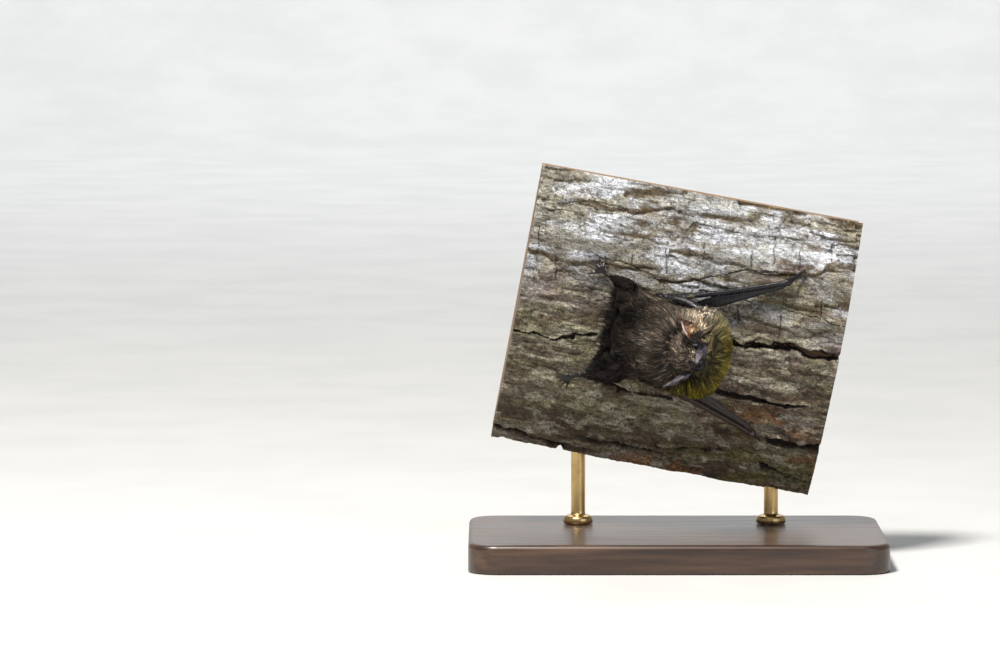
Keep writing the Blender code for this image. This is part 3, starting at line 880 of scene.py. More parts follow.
# %% Press in the face
def bulge(distance, radius):
    """1 at the middle, falling smoothly to 0 at the radius."""
    return 1 - soft_step(0, radius, distance)


NOSTRILS = np.array([(34.35, -0.15), (33.95, -1.45)])
NOSTRIL_DEPTH = 1.15
MOUTH_DEPTH = 0.34
# the share of its width and of its height that the snout keeps, by the distance back from the nose
WIDTH_KEPT = ((0, 1, 2, 3, 4, 5, 5.6), (0.50, 0.48, 0.54, 0.66, 0.82, 0.96, 1.0))
HEIGHT_KEPT = ((0, 2, 4, 6), (0.85, 0.80, 0.90, 1.0))
MIDDLE_HEIGHT = 0.4
NOSE_SHIFT = np.array([-0.9, -0.85, 0])

face_zone = is_kind["trunk"] & (in_head(skin_points)[0] < 9.5) & (on_head(skin_points) > 0.3)
zone = np.where(face_zone)[0]
places = skin_points[zone]
back, across, up = in_head(places)
# the snout narrows towards the nose and is held a little to the bat's right
slim = np.interp(back, *WIDTH_KEPT)
lower = np.interp(back, *HEIGHT_KEPT)
places = places + np.array([0, 1.0, 0]) * (across * (slim - 1))[:, None]
places = places + head_crown * ((up - MIDDLE_HEIGHT) * (lower - 1))[:, None]
places = places + NOSE_SHIFT * soft_step(5.6, -0.5, back)[:, None]
skin_points[zone] = places
ways = vertex_ways(skin_points, skin_faces)
across, up = across * slim, MIDDLE_HEIGHT + (up - MIDDLE_HEIGHT) * lower
push = np.zeros(len(zone))
for place in NOSTRILS:
    near = np.hypot(*(places[:, :2] - place).T)
    pit = places[np.argmax(places[:, 2] - 8 * near)]
    nostril = np.linalg.norm(places - pit, axis=1)
    push -= NOSTRIL_DEPTH * bulge(nostril, 0.8)
    push += 0.12 * bulge(np.abs(nostril - 0.9), 0.35)
mouth = np.abs(up + 1.05 - 0.02 * back)
push -= MOUTH_DEPTH * bulge(mouth, 0.36) * soft_step(0.5, 1.2, back) * soft_step(5.4, 4.2, back)
push += 0.14 * bulge(np.abs(mouth - 0.5), 0.4) * soft_step(0.5, 1.4, back) * soft_step(5.2, 4.0, back)
push -= 0.7 * soft_step(2.0, 0.5, back) * soft_step(-0.6, -1.3, up)
push -= 0.12 * bulge(np.abs(back - 2.4), 1.1) * soft_step(-0.6, 0.3, up)
places = places + ways[zone] * push[:, None]

# the eyes sit on the finished skin, lower than their solids, which include the depth of the coat
EYE_RADIUS = 0.5
EYE_SHIFT = {"left": (0.04, -0.22), "right": (0, 0)}
eye_centres = {}
for side in SIDES:
    near = np.hypot(*(places[:, :2] - eye_spots[side][:2] - EYE_SHIFT[side]).T)
    level = places[np.argmax(places[:, 2] - 8 * near)]
    looking = unit(ways[zone][np.linalg.norm(places - level, axis=1) < 0.9].mean(0))
    eye_centres[side] = level - looking * 0.1
    gap = places - eye_centres[side]
    ahead = gap @ looking
    ring = np.linalg.norm(gap - ahead[:, None] * looking, axis=1)
    same_side = soft_step(-1.3, -0.7, ahead)
    socket = bulge(np.abs(ring - 1.5), 0.8) * 0.12
    lid = bulge(np.abs(ring - 0.62), 0.30) * 0.28
    floor = np.clip(ahead + 0.25, 0, None) * soft_step(0.56, 0.40, ring)
    places = places + looking * (same_side * (lid - socket - floor))[:, None]
    print(side, "eye centre", np.round(eye_centres[side], 2).tolist())

skin_points[zone] = places
# paint and fur go by the head's directions as they were before the details were pressed in
face_back, face_across, face_up = in_head(skin_points)
for whole, before in ((face_back, back), (face_across, across), (face_up, up)):
    whole[zone] = before
print("vertices in the face:", len(zone))

# %% [markdown]
# ### Skin colours
#
# Under the fur the skin is dark. On arms and wings it is nearly black with a violet sheen, and the
# snout is grey. Light and shade are painted in as well: the warm glow of the sun through the left
# ear near its root and highlights on the nose, the left upper lid and that ear, while the right ear
# is painted as in shade, with painted shade in the nostrils, beside the eye, at the ear roots and
# on the tail membrane. The colours are painted on the vertices and broken up by noise in the
# material.


# %% Paint the skin
def blend_colours(base, colour, share):
    """The base with a share of the colour laid over it, point by point."""
    return base + (np.asarray(colour, float) - base) * np.asarray(share, float)[:, None]


def layered(base, *layers):
    """The base with each (colour, share) laid over it in turn."""
    for colour, share in layers:
        base = blend_colours(base, colour, share)
    return base


def plain(colour, points):
    """One colour at every point."""
    return np.tile(np.array(colour), (len(points), 1))


def fade(distance, reach):
    """1 where the distance is 0, fading smoothly over the reach."""
    return np.exp(-((distance / reach) ** 2))


def dab(u, v, at, reach):
    """A soft oval dab round a place: 1 in its middle, with a reach along and across."""
    return np.exp(-(((u - at[0]) / reach[0]) ** 2 + ((v - at[1]) / reach[1]) ** 2))


def waves(points, size, seed):
    """Cheap smooth variation between 0 and 1, with lumps about so many millimetres across."""
    turns = np.random.default_rng(seed).normal(size=(5, 3))
    shifts = np.random.default_rng(seed + 1).random(5) * math.tau
    total = sum(np.sin(points @ (turn / np.linalg.norm(turn)) * (math.tau / size) * (0.7 + 0.25 * k) + shift)
                for k, (turn, shift) in enumerate(zip(turns, shifts)))
    return np.clip(0.5 + total / 6, 0, 1)


def from_line(u, v, path):
    """Distance from a bent line through (u, v) points."""
    best = np.full(u.shape, 1e9)
    for (u0, v0), (u1, v1) in zip(path, path[1:]):
        du, dv = u1 - u0, v1 - v0
        share = np.clip(((u - u0) * du + (v - v0) * dv) / (du * du + dv * dv), 0, 1)
        best = np.minimum(best, np.hypot(u - u0 - share * du, v - v0 - share * dv))
    return best


UNDERCOAT = (0.012, 0.009, 0.007)
WING_VIOLET = (0.006, 0.0055, 0.009)
WING_BROWN = (0.023, 0.013, 0.008)
TAIL_SKIN_AND_SHADE = (0.008, 0.007, 0.008)
SOLE_BROWN = (0.007, 0.0055, 0.005)
WRIST_PALE = (0.12, 0.12, 0.13)
SNOUT_GREY = (0.062, 0.054, 0.070)
SNOUT_DARK = (0.026, 0.023, 0.034)
SNOUT_PALE = (0.135, 0.12, 0.155)
SNOUT_UNDERSIDE = (0.038, 0.026, 0.030)
SNOUT_SHADE = (0.010, 0.008, 0.010)
NOSE_HIGHLIGHT = (0.17, 0.15, 0.175)
NOSTRIL_SHADE = (0.004, 0.003, 0.004)
LORE_DARK_AND_SHADE = (0.008, 0.007, 0.010)
NOSE_RIDGE = ((33.0, 1.1), (33.7, 0.75), (33.3, 0.0))
NOSTRIL_SLIT = ((34.95, 0.2), (34.3, -0.5), (33.9, -1.5))

skin_u, skin_v, skin_n = skin_points.T
skin_ways = vertex_ways(skin_points, skin_faces)
wing = blend_colours(plain(WING_BROWN, skin_points), WING_VIOLET, soft_step(-3, 3, skin_v))
hide = plain(UNDERCOAT, skin_points)
bare_wing = is_kind["arm"] | is_kind["hand"] | is_kind["membrane"]
hide[bare_wing] = wing[bare_wing]
hide[is_kind["shank"] | is_kind["foot"]] = SOLE_BROWN
# the tail membrane: dark skin, made darker still as painted shade
hide[is_kind["membrane"] & (skin_u < 14)] = TAIL_SKIN_AND_SHADE

face = on_head(skin_points) * is_kind["trunk"]
snout = face * soft_step(6.6, 5.4, face_back)
blotch = waves(skin_points, 1.3, 5)
ridge = from_line(skin_u, skin_v, NOSE_RIDGE)
slit = from_line(skin_u, skin_v, NOSTRIL_SLIT)
lore = np.hypot((skin_u - 33.8) / 1.15, (skin_v - 3.2) / 0.75)
lore = np.minimum(lore, np.hypot(skin_u - 35.3, skin_v - 4.2) / 0.75)
hide = layered(
    hide,
    (SNOUT_GREY, snout),
    (SNOUT_DARK, snout * soft_step(0.5, 0.72, blotch) * 0.8),
    (SNOUT_PALE, face * soft_step(5.6, 4.6, face_back) * soft_step(0.46, 0.25, blotch) * 0.7),
    (SNOUT_UNDERSIDE, snout * soft_step(-2.6, -3.8, face_up) * 0.75),
    # painted highlight along the top of the nose
    (NOSE_HIGHLIGHT, face * soft_step(0.8, 0.2, ridge) * soft_step(4.2, 3.2, face_back)),
    # painted shade in the nostrils
    (NOSTRIL_SHADE, face * soft_step(0.75, 0.5, slit) * soft_step(3.4, 2.6, face_back)),
    (SNOUT_SHADE, face * soft_step(-0.6, -1.2, face_across) * soft_step(6.6, 5.4, face_back) * 0.85),
    # dark skin before the eye, and painted shade beside it on the side of the snout
    (LORE_DARK_AND_SHADE, face * soft_step(1.15, 0.75, lore) * 0.95),
)
print("vertices of the snout:", int((snout > 0.5).sum()))

# %% Paint lids and ears
SOCKET_GREY = (0.022, 0.019, 0.030)
PUPIL_BLACK = (0.006, 0.005, 0.007)
# the pale edge of the left upper lid is a painted highlight
LID_HIGHLIGHT = (0.62, 0.58, 0.66)
LID_HIGHLIGHT_RING = (0.66, 0.15)  # radius and width of the pale edge of the upper lid
# one ear skin, painted as lit by the sun on the left ear and as in shade on the right ear
EAR_BACK_LIT_SHADED = {"left": (0.40, 0.245, 0.215), "right": (0.060, 0.052, 0.062)}
EAR_INSIDE_LIT_SHADED = {"left": (0.15, 0.052, 0.020), "right": (0.105, 0.097, 0.120)}
EAR_RIM_LIT_SHADED = {"left": (0.060, 0.017, 0.009), "right": (0.022, 0.019, 0.026)}
EAR_ROOT_SHADE = (0.02, 0.010, 0.008)
TRAGUS_BROWN = (0.035, 0.018, 0.013)
# painted glow of the sun through the left ear, with painted highlights and dark spots
EAR_GLOW_MARKS = (  # the lit inside of the left ear: place up the ear and across, reaches, and colour
    ((0.44, 0.25), (0.07, 0.30), (0.26, 0.105, 0.035)),
    ((0.30, -0.36), (0.12, 0.14), (0.14, 0.060, 0.026)),
    ((0.19, 0.14), (0.15, 0.34), (0.90, 0.64, 0.38)),
    ((0.43, -0.22), (0.03, 0.11), (0.7, 0.52, 0.40)),
    ((0.50, -0.40), (0.05, 0.18), (0.010, 0.004, 0.003)),
    ((0.02, -0.35), (0.08, 0.25), (0.020, 0.009, 0.006)),
)
EAR_FOLD = ((0.72, -0.12), (0.66, 0.12), (0.60, 0.24), (0.42, 0.30))


def paint_lids(hide, side):
    """A grey socket, a black pupil and, on the lit side, a painted highlight on the upper lid."""
    gap = skin_points - eye_centres[side]
    lid = np.linalg.norm(gap, axis=1)
    rim = np.hypot(gap[:, 0], gap[:, 1])
    upper = (gap[:, 0] * -0.69 + gap[:, 1] * 0.71 * SIDES[side]) / np.maximum(rim, 1e-6)
    ring = fade(rim - LID_HIGHLIGHT_RING[0], LID_HIGHLIGHT_RING[1]) * soft_step(0.0, 0.45, upper) * (lid < 2.4) * (side == "left")
    return layered(
        hide,
        (SOCKET_GREY, face * soft_step(2.1, 1.3, lid) * 0.7),
        (PUPIL_BLACK, face * soft_step(0.56, 0.44, rim) * (lid < 1.6)),
        # painted highlight on the upper lid, on the left eye only
        (LID_HIGHLIGHT, face * np.clip(ring * 1.3, 0, 1)),
    )


def paint_inside(hide, of_ear, seen, inside, height, spread):
    """The left ear, which the sun shines through: painted orange glow and painted highlights, a dark rim and
    a dark fold.
    """
    upper_half = of_ear * soft_step(0.42, 0.52, height) * soft_step(0.0, 0.5, spread)
    hide = blend_colours(hide, (0.46, 0.34, 0.30), upper_half)
    for at, reach, tint in EAR_GLOW_MARKS:
        hide = blend_colours(hide, tint, seen * np.clip(dab(height, spread, at, reach) * 1.5, 0, 1))
    fold = from_line(height, spread * 0.3, EAR_FOLD)
    return layered(
        hide,
        ((0.025, 0.010, 0.007), of_ear * (soft_step(0.62, 0.82, spread) * soft_step(0.42, 0.30, height))),
        ((0.065, 0.018, 0.012), of_ear * fade(fold, 0.06)),
        ((0.11, 0.036, 0.020), of_ear * (1 - inside) * soft_step(0.42, 0.30, height) * 0.85),
        ((0.030, 0.012, 0.010), of_ear * soft_step(0.76, 0.84, height) * 0.9),
    )


def paint_ear(hide, side):
    """Colours of one ear, and how much of each vertex is the furry foot of that ear."""
    root, to_tip, facing, across_way = ear_frame(side)
    gap = skin_points - root
    height = gap @ to_tip / EAR_LENGTH
    inside = soft_step(-0.25, 0.35, skin_ways @ facing)
    of_ear = is_kind["ear"] * (np.linalg.norm(gap, axis=1) < EAR_LENGTH * 1.3)
    half_width = EAR_HALF_WIDTH * np.interp(height, [0, 0.35, 1], [1.05, 1.35, 0.15])
    spread = gap @ across_way / half_width
    seen = of_ear * inside
    hide = layered(hide, (EAR_BACK_LIT_SHADED[side], of_ear), (EAR_INSIDE_LIT_SHADED[side], seen))
    if side == "left":
        hide = paint_inside(hide, of_ear, seen, inside, height, spread)
    lobe = np.linalg.norm(skin_points - (root + facing * 1.15 + to_tip * 0.5), axis=1)
    hide = layered(
        hide,
        # painted shade at the root of the ear
        (EAR_ROOT_SHADE, of_ear * soft_step(0.06, -0.02, height)),
        (TRAGUS_BROWN, of_ear * soft_step(1.1, 0.8, lobe)),
    )
    hide = hide * (1 - 0.45 * of_ear * soft_step(0.45, 0.75, waves(skin_points, 1.1, 41)))[:, None]
    hide = layered(
        hide,
        (EAR_RIM_LIT_SHADED[side], seen * soft_step(-0.62, -0.82, spread) * 0.9),
        (EAR_RIM_LIT_SHADED[side], of_ear * soft_step(0.8, 0.97, height) * 0.9),
    )
    return hide, 0.6 * of_ear * soft_step(0.04, -0.06, height)


ear_foot = np.zeros(len(skin_points))
for side in SIDES:
    hide, foot = paint_ear(paint_lids(hide, side), side)
    ear_foot = np.maximum(ear_foot, foot)
wrist_gap = np.linalg.norm(skin_points - (limb["right"]["wrist"] + [1.4, -0.2, 0.4]), axis=1)
hide = blend_colours(hide, WRIST_PALE, soft_step(1.0, 0.5, wrist_gap) * 0.6)
hide *= (0.8 + 0.4 * waves(skin_points, 3.0, 3))[:, None]
print("mean colour of the skin:", np.round(hide.mean(0), 4).tolist())

# %% Skin finish
bare = Finish("bat_skin", Specular_IOR_Level=0.38)
mottle = bare.noise(0.9, 4)
creases = bare.noise(0.28, 3, 0.6)
colour = bare.shade(bare.painted("hide"), mottle.ramp(0.3, 0.7, 0.72, 1.3))
bare.bump(creases * 0.6 + mottle * 0.4, 0.16)
gloss = creases.ramp(0.3, 0.7, 0.15, 0.45) + bare.painted("hide").ramp(0.03, 0.12, 0.0, 0.3)
bare_skin = bare.set(Base_Color=colour, Roughness=gloss)

skin_object = piece("skin", skin_points, skin_faces, bare_skin, "bat_skin", painted={"hide": hide})
PAIRED = ("ear", "upper_arm", "forearm", "folded_wing", "thumb", "wing_membrane", "thigh", "shank", "foot")
flesh_nodes = ["head", "neck", "chest", "abdomen", "tail_membrane", "tail"]
flesh_nodes += [f"{part}_{side}" for side in SIDES for part in PAIRED]
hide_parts(*flesh_nodes)
print("one skin stands for", len(flesh_nodes), "solids")

# %% [markdown]
# ## Eyes
#
# The eye is small, dark and glossy, and bulges a little from the side of the head. A finely divided
# ball with a clear coat can catch a single sharp highlight, which makes an eye look alive. The iris
# is so dark that it only just shows.

# %% Eyes
glossy = Finish("eye_gloss", Roughness=0.15, Coat_Weight=0.6, Coat_Roughness=0.03, Specular_IOR_Level=0.3)
iris = glossy.noise(0.35, 2).ramp(0.35, 0.65)
eye_finish = glossy.set(Base_Color=glossy.mix((0.004, 0.004, 0.006), (0.012, 0.010, 0.014), iris))
for side in SIDES:
    points, faces = blob(eye_centres[side], (EYE_RADIUS,) * 3, 30, 40)
    ball = piece(f"eyeball_{side}", points, faces, eye_finish, "eye")
    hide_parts(f"eye_{side}")
    print("eyeball", side, "has a radius of", EYE_RADIUS, "mm")

# %% [markdown]
# ## Claws
#
# Five toes fan out over the bark and each ends in a curved claw, and the thumb has one more. They
# are what holds the bat up, so every tip reaches down to the bark. Each is a tapering bent horn.

# %% Claws
horn = Finish("claw_horn", Specular_IOR_Level=0.3)
streak = horn.noise(0.5, 3)
colour = horn.mix((0.010, 0.008, 0.007), (0.035, 0.026, 0.020), streak.ramp(0.4, 0.75))
claw_finish = horn.set(Base_Color=colour, Roughness=streak.ramp(0.3, 0.7, 0.4, 0.6))


def claw(root, tip, lift, radius):
    """A bent horn that tapers to a point."""
    middle = (root + tip) / 2 + np.array([0, 0, lift])
    return tube([root, middle, tip], [radius, radius * 0.75, 0.1], 16, 10, 1.25)


def joined(parts):
    """Several shapes as one array of points and one of faces."""
    points, faces, start = [], [], 0
    for part_points, part_faces in parts:
        points.append(part_points)
        faces.append(part_faces + start)
        start += len(part_points)
    return np.concatenate(points), np.concatenate(faces)


for side, ((base_u, base_v), angles) in TOES.items():
    mirror = SIDES[side]
    horns = []
    for degrees in angles:
        angle = math.radians(degrees)
        way = np.array([-math.cos(angle), mirror * math.sin(angle), 0])
        root = np.array([base_u, base_v, 0]) + way * CLAW_ROOT
        tip = np.array([base_u, base_v, 0]) + way * CLAW_TIP
        root[2] = bark_n(root[1]) + SOLE_HEIGHT
        tip[2] = bark_n(tip[1]) + 0.05
        horns.append(claw(root, tip, 0.3, 0.3))
    piece(f"toe_claws_{side}", *joined(horns), claw_finish, "bat_skin")
    thumb = ends(f"thumb_{side}", 0.2)
    start = thumb[0] * 0.3 + thumb[1] * 0.7
    tip = thumb[1] + (thumb[1] - thumb[0]) * 0.15
    tip[2] = bark_n(tip[1]) + 0.05
    piece(f"thumb_claw_{side}", *claw(start, tip, 0.4, 0.42), claw_finish, "bat_skin")
print("claws made:", sum(len(angles) for _, angles in TOES.values()), "on toes and", len(TOES), "on thumbs")

# %% [markdown]
# ## The coat
#
# The export keeps only real geometry, so hair is neither particles nor curves here. A tuft is a thin
# three-sided spike, bent in the middle: seven vertices. More than a hundred thousand of them, most
# between a tenth and a fifth of a millimetre wide, read as fur.
#
# A believable coat needs four things: a direction that flows over the body, tufts that lean
# together in locks, lengths that vary, and hairs that are dark at the root and lighter at the
# tip. Each is one short function.


# %% Lie of the coat
SWIRLS = ((7.0, 21), (6.0, 23), (8.0, 25))  # size in millimetres and seed, one for each direction


def lie(points, ways):
    """The way the fur runs over the skin, as unit vectors along the surface."""
    head = on_head(points)[:, None]
    from_face = points - np.array([30.5, 0.0, 16.0])
    from_face[:, 2] = 0
    radial = unit(from_face)
    rearward = soft_step(30, 18, points[:, 0])[:, None]
    body = radial * (1 - 0.55 * rearward) + np.array([-1.0, 0, -0.1]) * rearward
    body = body + np.array([0, 0, -0.75]) * soft_step(34, 42, points[:, 0])[:, None]
    body = body + np.array([0, 0, -0.5]) * soft_step(9, 13, np.abs(points[:, 1]))[:, None]
    across = points[:, 1:2]
    skull = -head_along + np.array([0, 0.35, 0]) * np.sign(across) * soft_step(0.5, 3.0, np.abs(across))
    over_ear = dab(points[:, 0], points[:, 1], (33.0, 8.4), (1.7, 1.6))[:, None]
    body = body + (np.array([-0.85, 0.45, 0.2]) - body) * over_ear
    way = skull * head + body * (1 - head)
    swirl = np.stack([waves(points, size, seed) - 0.5 for size, seed in SWIRLS], 1)
    way = way + swirl * 0.55
    return unit(way - ways * (way * ways).sum(1, keepdims=True))


# %% Colours of the coat
BACK_BROWN = (0.052, 0.0415, 0.032)
RUMP_BROWN = (0.0080, 0.0053, 0.0043)
MANTLE_BROWN = (0.062, 0.049, 0.037)
SHOULDER_HIGHLIGHT = (0.46, 0.385, 0.29)
CROWN_BROWN = (0.060, 0.047, 0.037)
CHEEK_CREAM = (0.22, 0.18, 0.11)
CHIN_OLIVE = (0.075, 0.060, 0.030)
OLIVE_REFLECTION = (0.205, 0.165, 0.014)
OLIVE_HIGHLIGHT = (0.30, 0.265, 0.16)
THROAT_DARK = (0.050, 0.040, 0.017)


CHEEK_MARKS = (  # pale tufts on the cheek: u, v, reach and strength
    (31.2, 4.15, 0.85, 1.0), (31.9, 1.7, 0.5, 0.45), (31.7, 0.3, 0.5, 0.15), (32.7, -0.2, 0.55, 0.35),
)
BEHIND_EYE = ((29.7, 3.0), (30.4, 1.4), (30.6, -0.1), (31.6, -1.3))
CHIN_LINE = ((35.5, -1.6), (34.4, -3.2), (33.0, -4.2))


def skull_colour(u, v, n, up):
    """Colour of the coat on the head."""
    skull = layered(
        np.tile(np.array(CROWN_BROWN), (len(u), 1)),
        (CHIN_OLIVE, soft_step(0.2, -1.2, up)),
        (THROAT_DARK, soft_step(-2.5, -4.0, up)),
    )
    for at_u, at_v, reach, share in CHEEK_MARKS:
        mark = fade(np.hypot(u - at_u, v - at_v), reach)
        skull = blend_colours(skull, CHEEK_CREAM, mark * soft_step(14.5, 16.5, n) * share)
    return layered(
        skull,
        (UNDERCOAT, fade(from_line(u, v, BEHIND_EYE), 0.6) * soft_step(21, 22.5, n) * 0.8),
        (UNDERCOAT, fade(np.hypot(u - 31.9, v - 5.3), 0.9) * 0.85),
        (UNDERCOAT, fade(from_line(u, v, CHIN_LINE), 1.2) * 0.7),
    )


def coat_colour(points):
    """Colour of the coat at points of the skin."""
    u, v, n = points.T
    ring = np.hypot(u - 32.0, v * 0.95)
    toward = ((u - 32.0) * 0.90 - v * 0.38) / np.maximum(ring, 1e-6)
    below = soft_step(-0.15, 0.4, toward)
    colour = layered(
        plain(BACK_BROWN, points),
        (RUMP_BROWN, soft_step(22, 11, u)),
        (RUMP_BROWN, soft_step(5, 12, -v) * soft_step(9, 5, n) * 0.8),
        (MANTLE_BROWN, soft_step(22, 30, u) * (0.3 + 0.7 * soft_step(-7, 6, v))),
        (THROAT_DARK, below * soft_step(4.0, 5.5, ring)),
        # pale throat fur with painted green-yellow reflected light on the fringe, and a painted highlight on
        # its upper side
        (OLIVE_REFLECTION, below * soft_step(5.8, 9.3, ring)),
        (OLIVE_HIGHLIGHT, soft_step(3, 8, v) * soft_step(33, 39, u) * 0.75),
    )
    # painted glow of the reflected light in the throat, and painted shade on the lower side of the fringe
    reflected_glow = dab(u, v, (42, -2.5), (4.0, 4.5)) * below
    colour = colour * (1 + 0.5 * reflected_glow - 0.55 * soft_step(-4, -9, v) * below)[:, None]
    colour = colour * (1 - 0.25 * fade(u - 27.5, 2.0) * soft_step(6, 3, np.abs(v)))[:, None]
    colour = colour * (1 - 0.6 * dab(u, v, (35.0, 8.8), (2.2, 1.9)))[:, None]
    # painted highlight where the sun falls on the left shoulder
    lit = np.maximum(dab(u, v, (32.6, 10.5), (3.8, 1.5)), dab(u, v, (31.8, 8.0), (1.5, 1.5)))
    colour = blend_colours(colour, SHOULDER_HIGHLIGHT, np.clip(lit * 1.3, 0, 1) * soft_step(6, 10, n))
    head = on_head(points)
    skull = skull_colour(u, v, n, in_head(points)[2])
    colour = colour + (skull - colour) * head[:, None]
    brow = fade(np.hypot(u - 34.5, v - 5.5), 1.1)
    colour = blend_colours(colour, CHEEK_CREAM, brow * soft_step(15, 17, n) * 0.6)
    # painted shade in the crease round the back and lower side of the head
    crease = fade(head - 0.35, 0.25) * soft_step(34, 30, u) * (1 - 0.95 * soft_step(4.5, 6.5, v))
    colour = colour * (1 - 0.6 * crease)[:, None]
    # painted highlight on the fur beside the left ear
    beside_ear = dab(u, v, (32.0, 7.9), (1.4, 1.4)) * soft_step(12, 14, n)
    colour = blend_colours(colour, SHOULDER_HIGHLIGHT, beside_ear)
    return colour * (0.68 + 0.64 * waves(points, 3.6, 11))[:, None]


# %% Choose the roots
def near_ears(points):
    """Distance from the mouth of the nearer ear."""
    best = np.full(len(points), 99.0)
    for side in SIDES:
        root, to_tip, facing, across_way = ear_frame(side)
        for step in (0.0, 0.12, 0.24, 0.36):
            for shift in (0.0, 0.5):
                place = root + facing * 1.1 + to_tip * (EAR_LENGTH * step) + across_way * shift
                best = np.minimum(best, np.linalg.norm(points - place, axis=1))
    return best


def body_middle(points):
    """The place on the body's middle line that each point lies beside."""
    u = points[:, 0]
    height = np.interp(u, [9, 20, 30, 44], [3.5, 7.5, 11.5, 13.5])
    return np.stack([np.clip(u, 12, 34), np.zeros(len(u)), height], 1)


def choose_roots(count, weight, dice):
    """Roots on the skin, thicker where weight is high, with the skin's normal there."""
    triangles = as_triangles(skin_faces)
    sizes = np.linalg.norm(face_ways(skin_points, triangles), axis=1) * weight[triangles].mean(1)
    places = scatter(triangles, sizes, count, dice)
    return between(skin_points, *places), unit(between(skin_ways, *places))


COAT_TUFTS = 128000
# upper and lower edge of the bare snout, by the distance back from the nose
TOP_EDGE = ((0.6, 1.5, 2.9, 3.7, 5.4, 6.5), (2.1, 1.7, 1.2, 1.1, 0.75, 0.6))
CHIN_EDGE = ((0.6, 3.4, 4.3, 4.6, 5.2, 6.0), (-0.7, -2.1, -2.7, -3.4, -3.6, -2.6))
ARM_TUFTS = (  # from the elbow towards this place, the share of the way, and the reach
    ("shoulder", 0.12, 1.1), ("shoulder", 0.35, 1.0),
    ("wrist", 0.12, 1.0), ("wrist", 0.24, 0.9), ("wrist", 0.45, 0.6), ("wrist", 0.7, 0.45),
)

head_share = on_head(skin_points)
near_eye = np.full(len(skin_points), 99.0)
for side in SIDES:
    closer_by = 0.75 if side == "right" else 0.0
    for forward in (0.0, 0.5, 1.0):
        place = eye_centres[side] + head_along * forward
        near_eye = np.minimum(near_eye, np.linalg.norm(skin_points - place, axis=1) + closer_by)
near_ear = near_ears(skin_points)
furry = is_kind["trunk"] | is_kind["fur_limb"]
weight = np.where(furry, 1.0, ear_foot)
under_top = soft_step(0.35, -0.05, face_up - np.interp(face_back, *TOP_EDGE))
over_chin = soft_step(-0.3, 0.1, face_up - np.interp(face_back, *CHIN_EDGE))
bare_snout = under_top * over_chin * soft_step(6.5, 6.0, face_back)
bare_snout = np.maximum(bare_snout, soft_step(1.2, 0.7, face_back))
weight *= 1 - head_share * bare_snout * 0.985
weight *= soft_step(0.85, 1.25, near_eye)
weight *= 0.03 + 0.97 * soft_step(1.3, 1.9, near_ear)
weight *= 1 + 1.4 * head_share
facing_out = (unit(skin_points - body_middle(skin_points)) * skin_ways).sum(1)
weight *= np.where(is_kind["trunk"] & (head_share < 0.3), soft_step(0.0, 0.3, facing_out), 1.0)
weight *= 0.12 + 0.88 * soft_step(-0.55, -0.1, skin_ways[:, 2])
web = is_kind["membrane"] & (skin_ways[:, 2] > 0)
weight = np.where(web, 0.85 * soft_step(2.5, 8.0, skin_u), weight)
weight = np.where(is_kind["shank"], 0.5 * soft_step(1.2, 3.0, skin_n) + soft_step(3.0, 5.0, skin_n), weight)
weight[is_kind["membrane"] & (skin_u > 14)] = 0.5
weight[is_kind["membrane"] & (skin_u > 20) & (np.abs(skin_v) > 9.5)] = 0.03
arm_tufts = np.zeros(len(skin_points))
for side in SIDES:
    elbow = limb[side]["elbow"]
    for far_end, share, reach in ARM_TUFTS:
        place = elbow + (limb[side][far_end] - elbow) * share + [0, 0, 1.2]
        arm_tufts += fade(np.linalg.norm(skin_points - place, axis=1), reach)
bare_arm = (is_kind["arm"] | is_kind["hand"]) & (skin_ways[:, 2] > 0.2)
weight = np.where(bare_arm, arm_tufts * 0.13, weight)
roots, normals = choose_roots(COAT_TUFTS, weight, np.random.default_rng(11))
print("roots:", len(roots))

# %% [markdown]
# ### Locks
#
# Damp fur gathers into little locks. One tuft in fifteen leads, and every other tuft bends its tip
# part of the way towards its nearest leader's tip. The solids of the frame are meant as the outside
# of the coat, so a tuft that stands out too far from the trunk's solids is combed down towards them.
# Tufts whose roots already lie outside the solids, as at the membranes, keep their own height there.


# %% Shape the tufts
LOCK_SIZE = 15
CORE_REACH = 0.26  # tufts this near to their leader, in millimetres, are the middle of the lock
FROSTED_SHARE = 0.62
arm_ways = {side: limb[side]["wrist"] - limb[side]["elbow"] for side in SIDES}


def shoulder_patch(points):
    """1 on the untidy patch of the left shoulder, where the painted highlight lies."""
    u, v, n = points.T
    return dab(u, v, (32.8, 9.5), (3.6, 3.2)) * soft_step(6, 10, n)


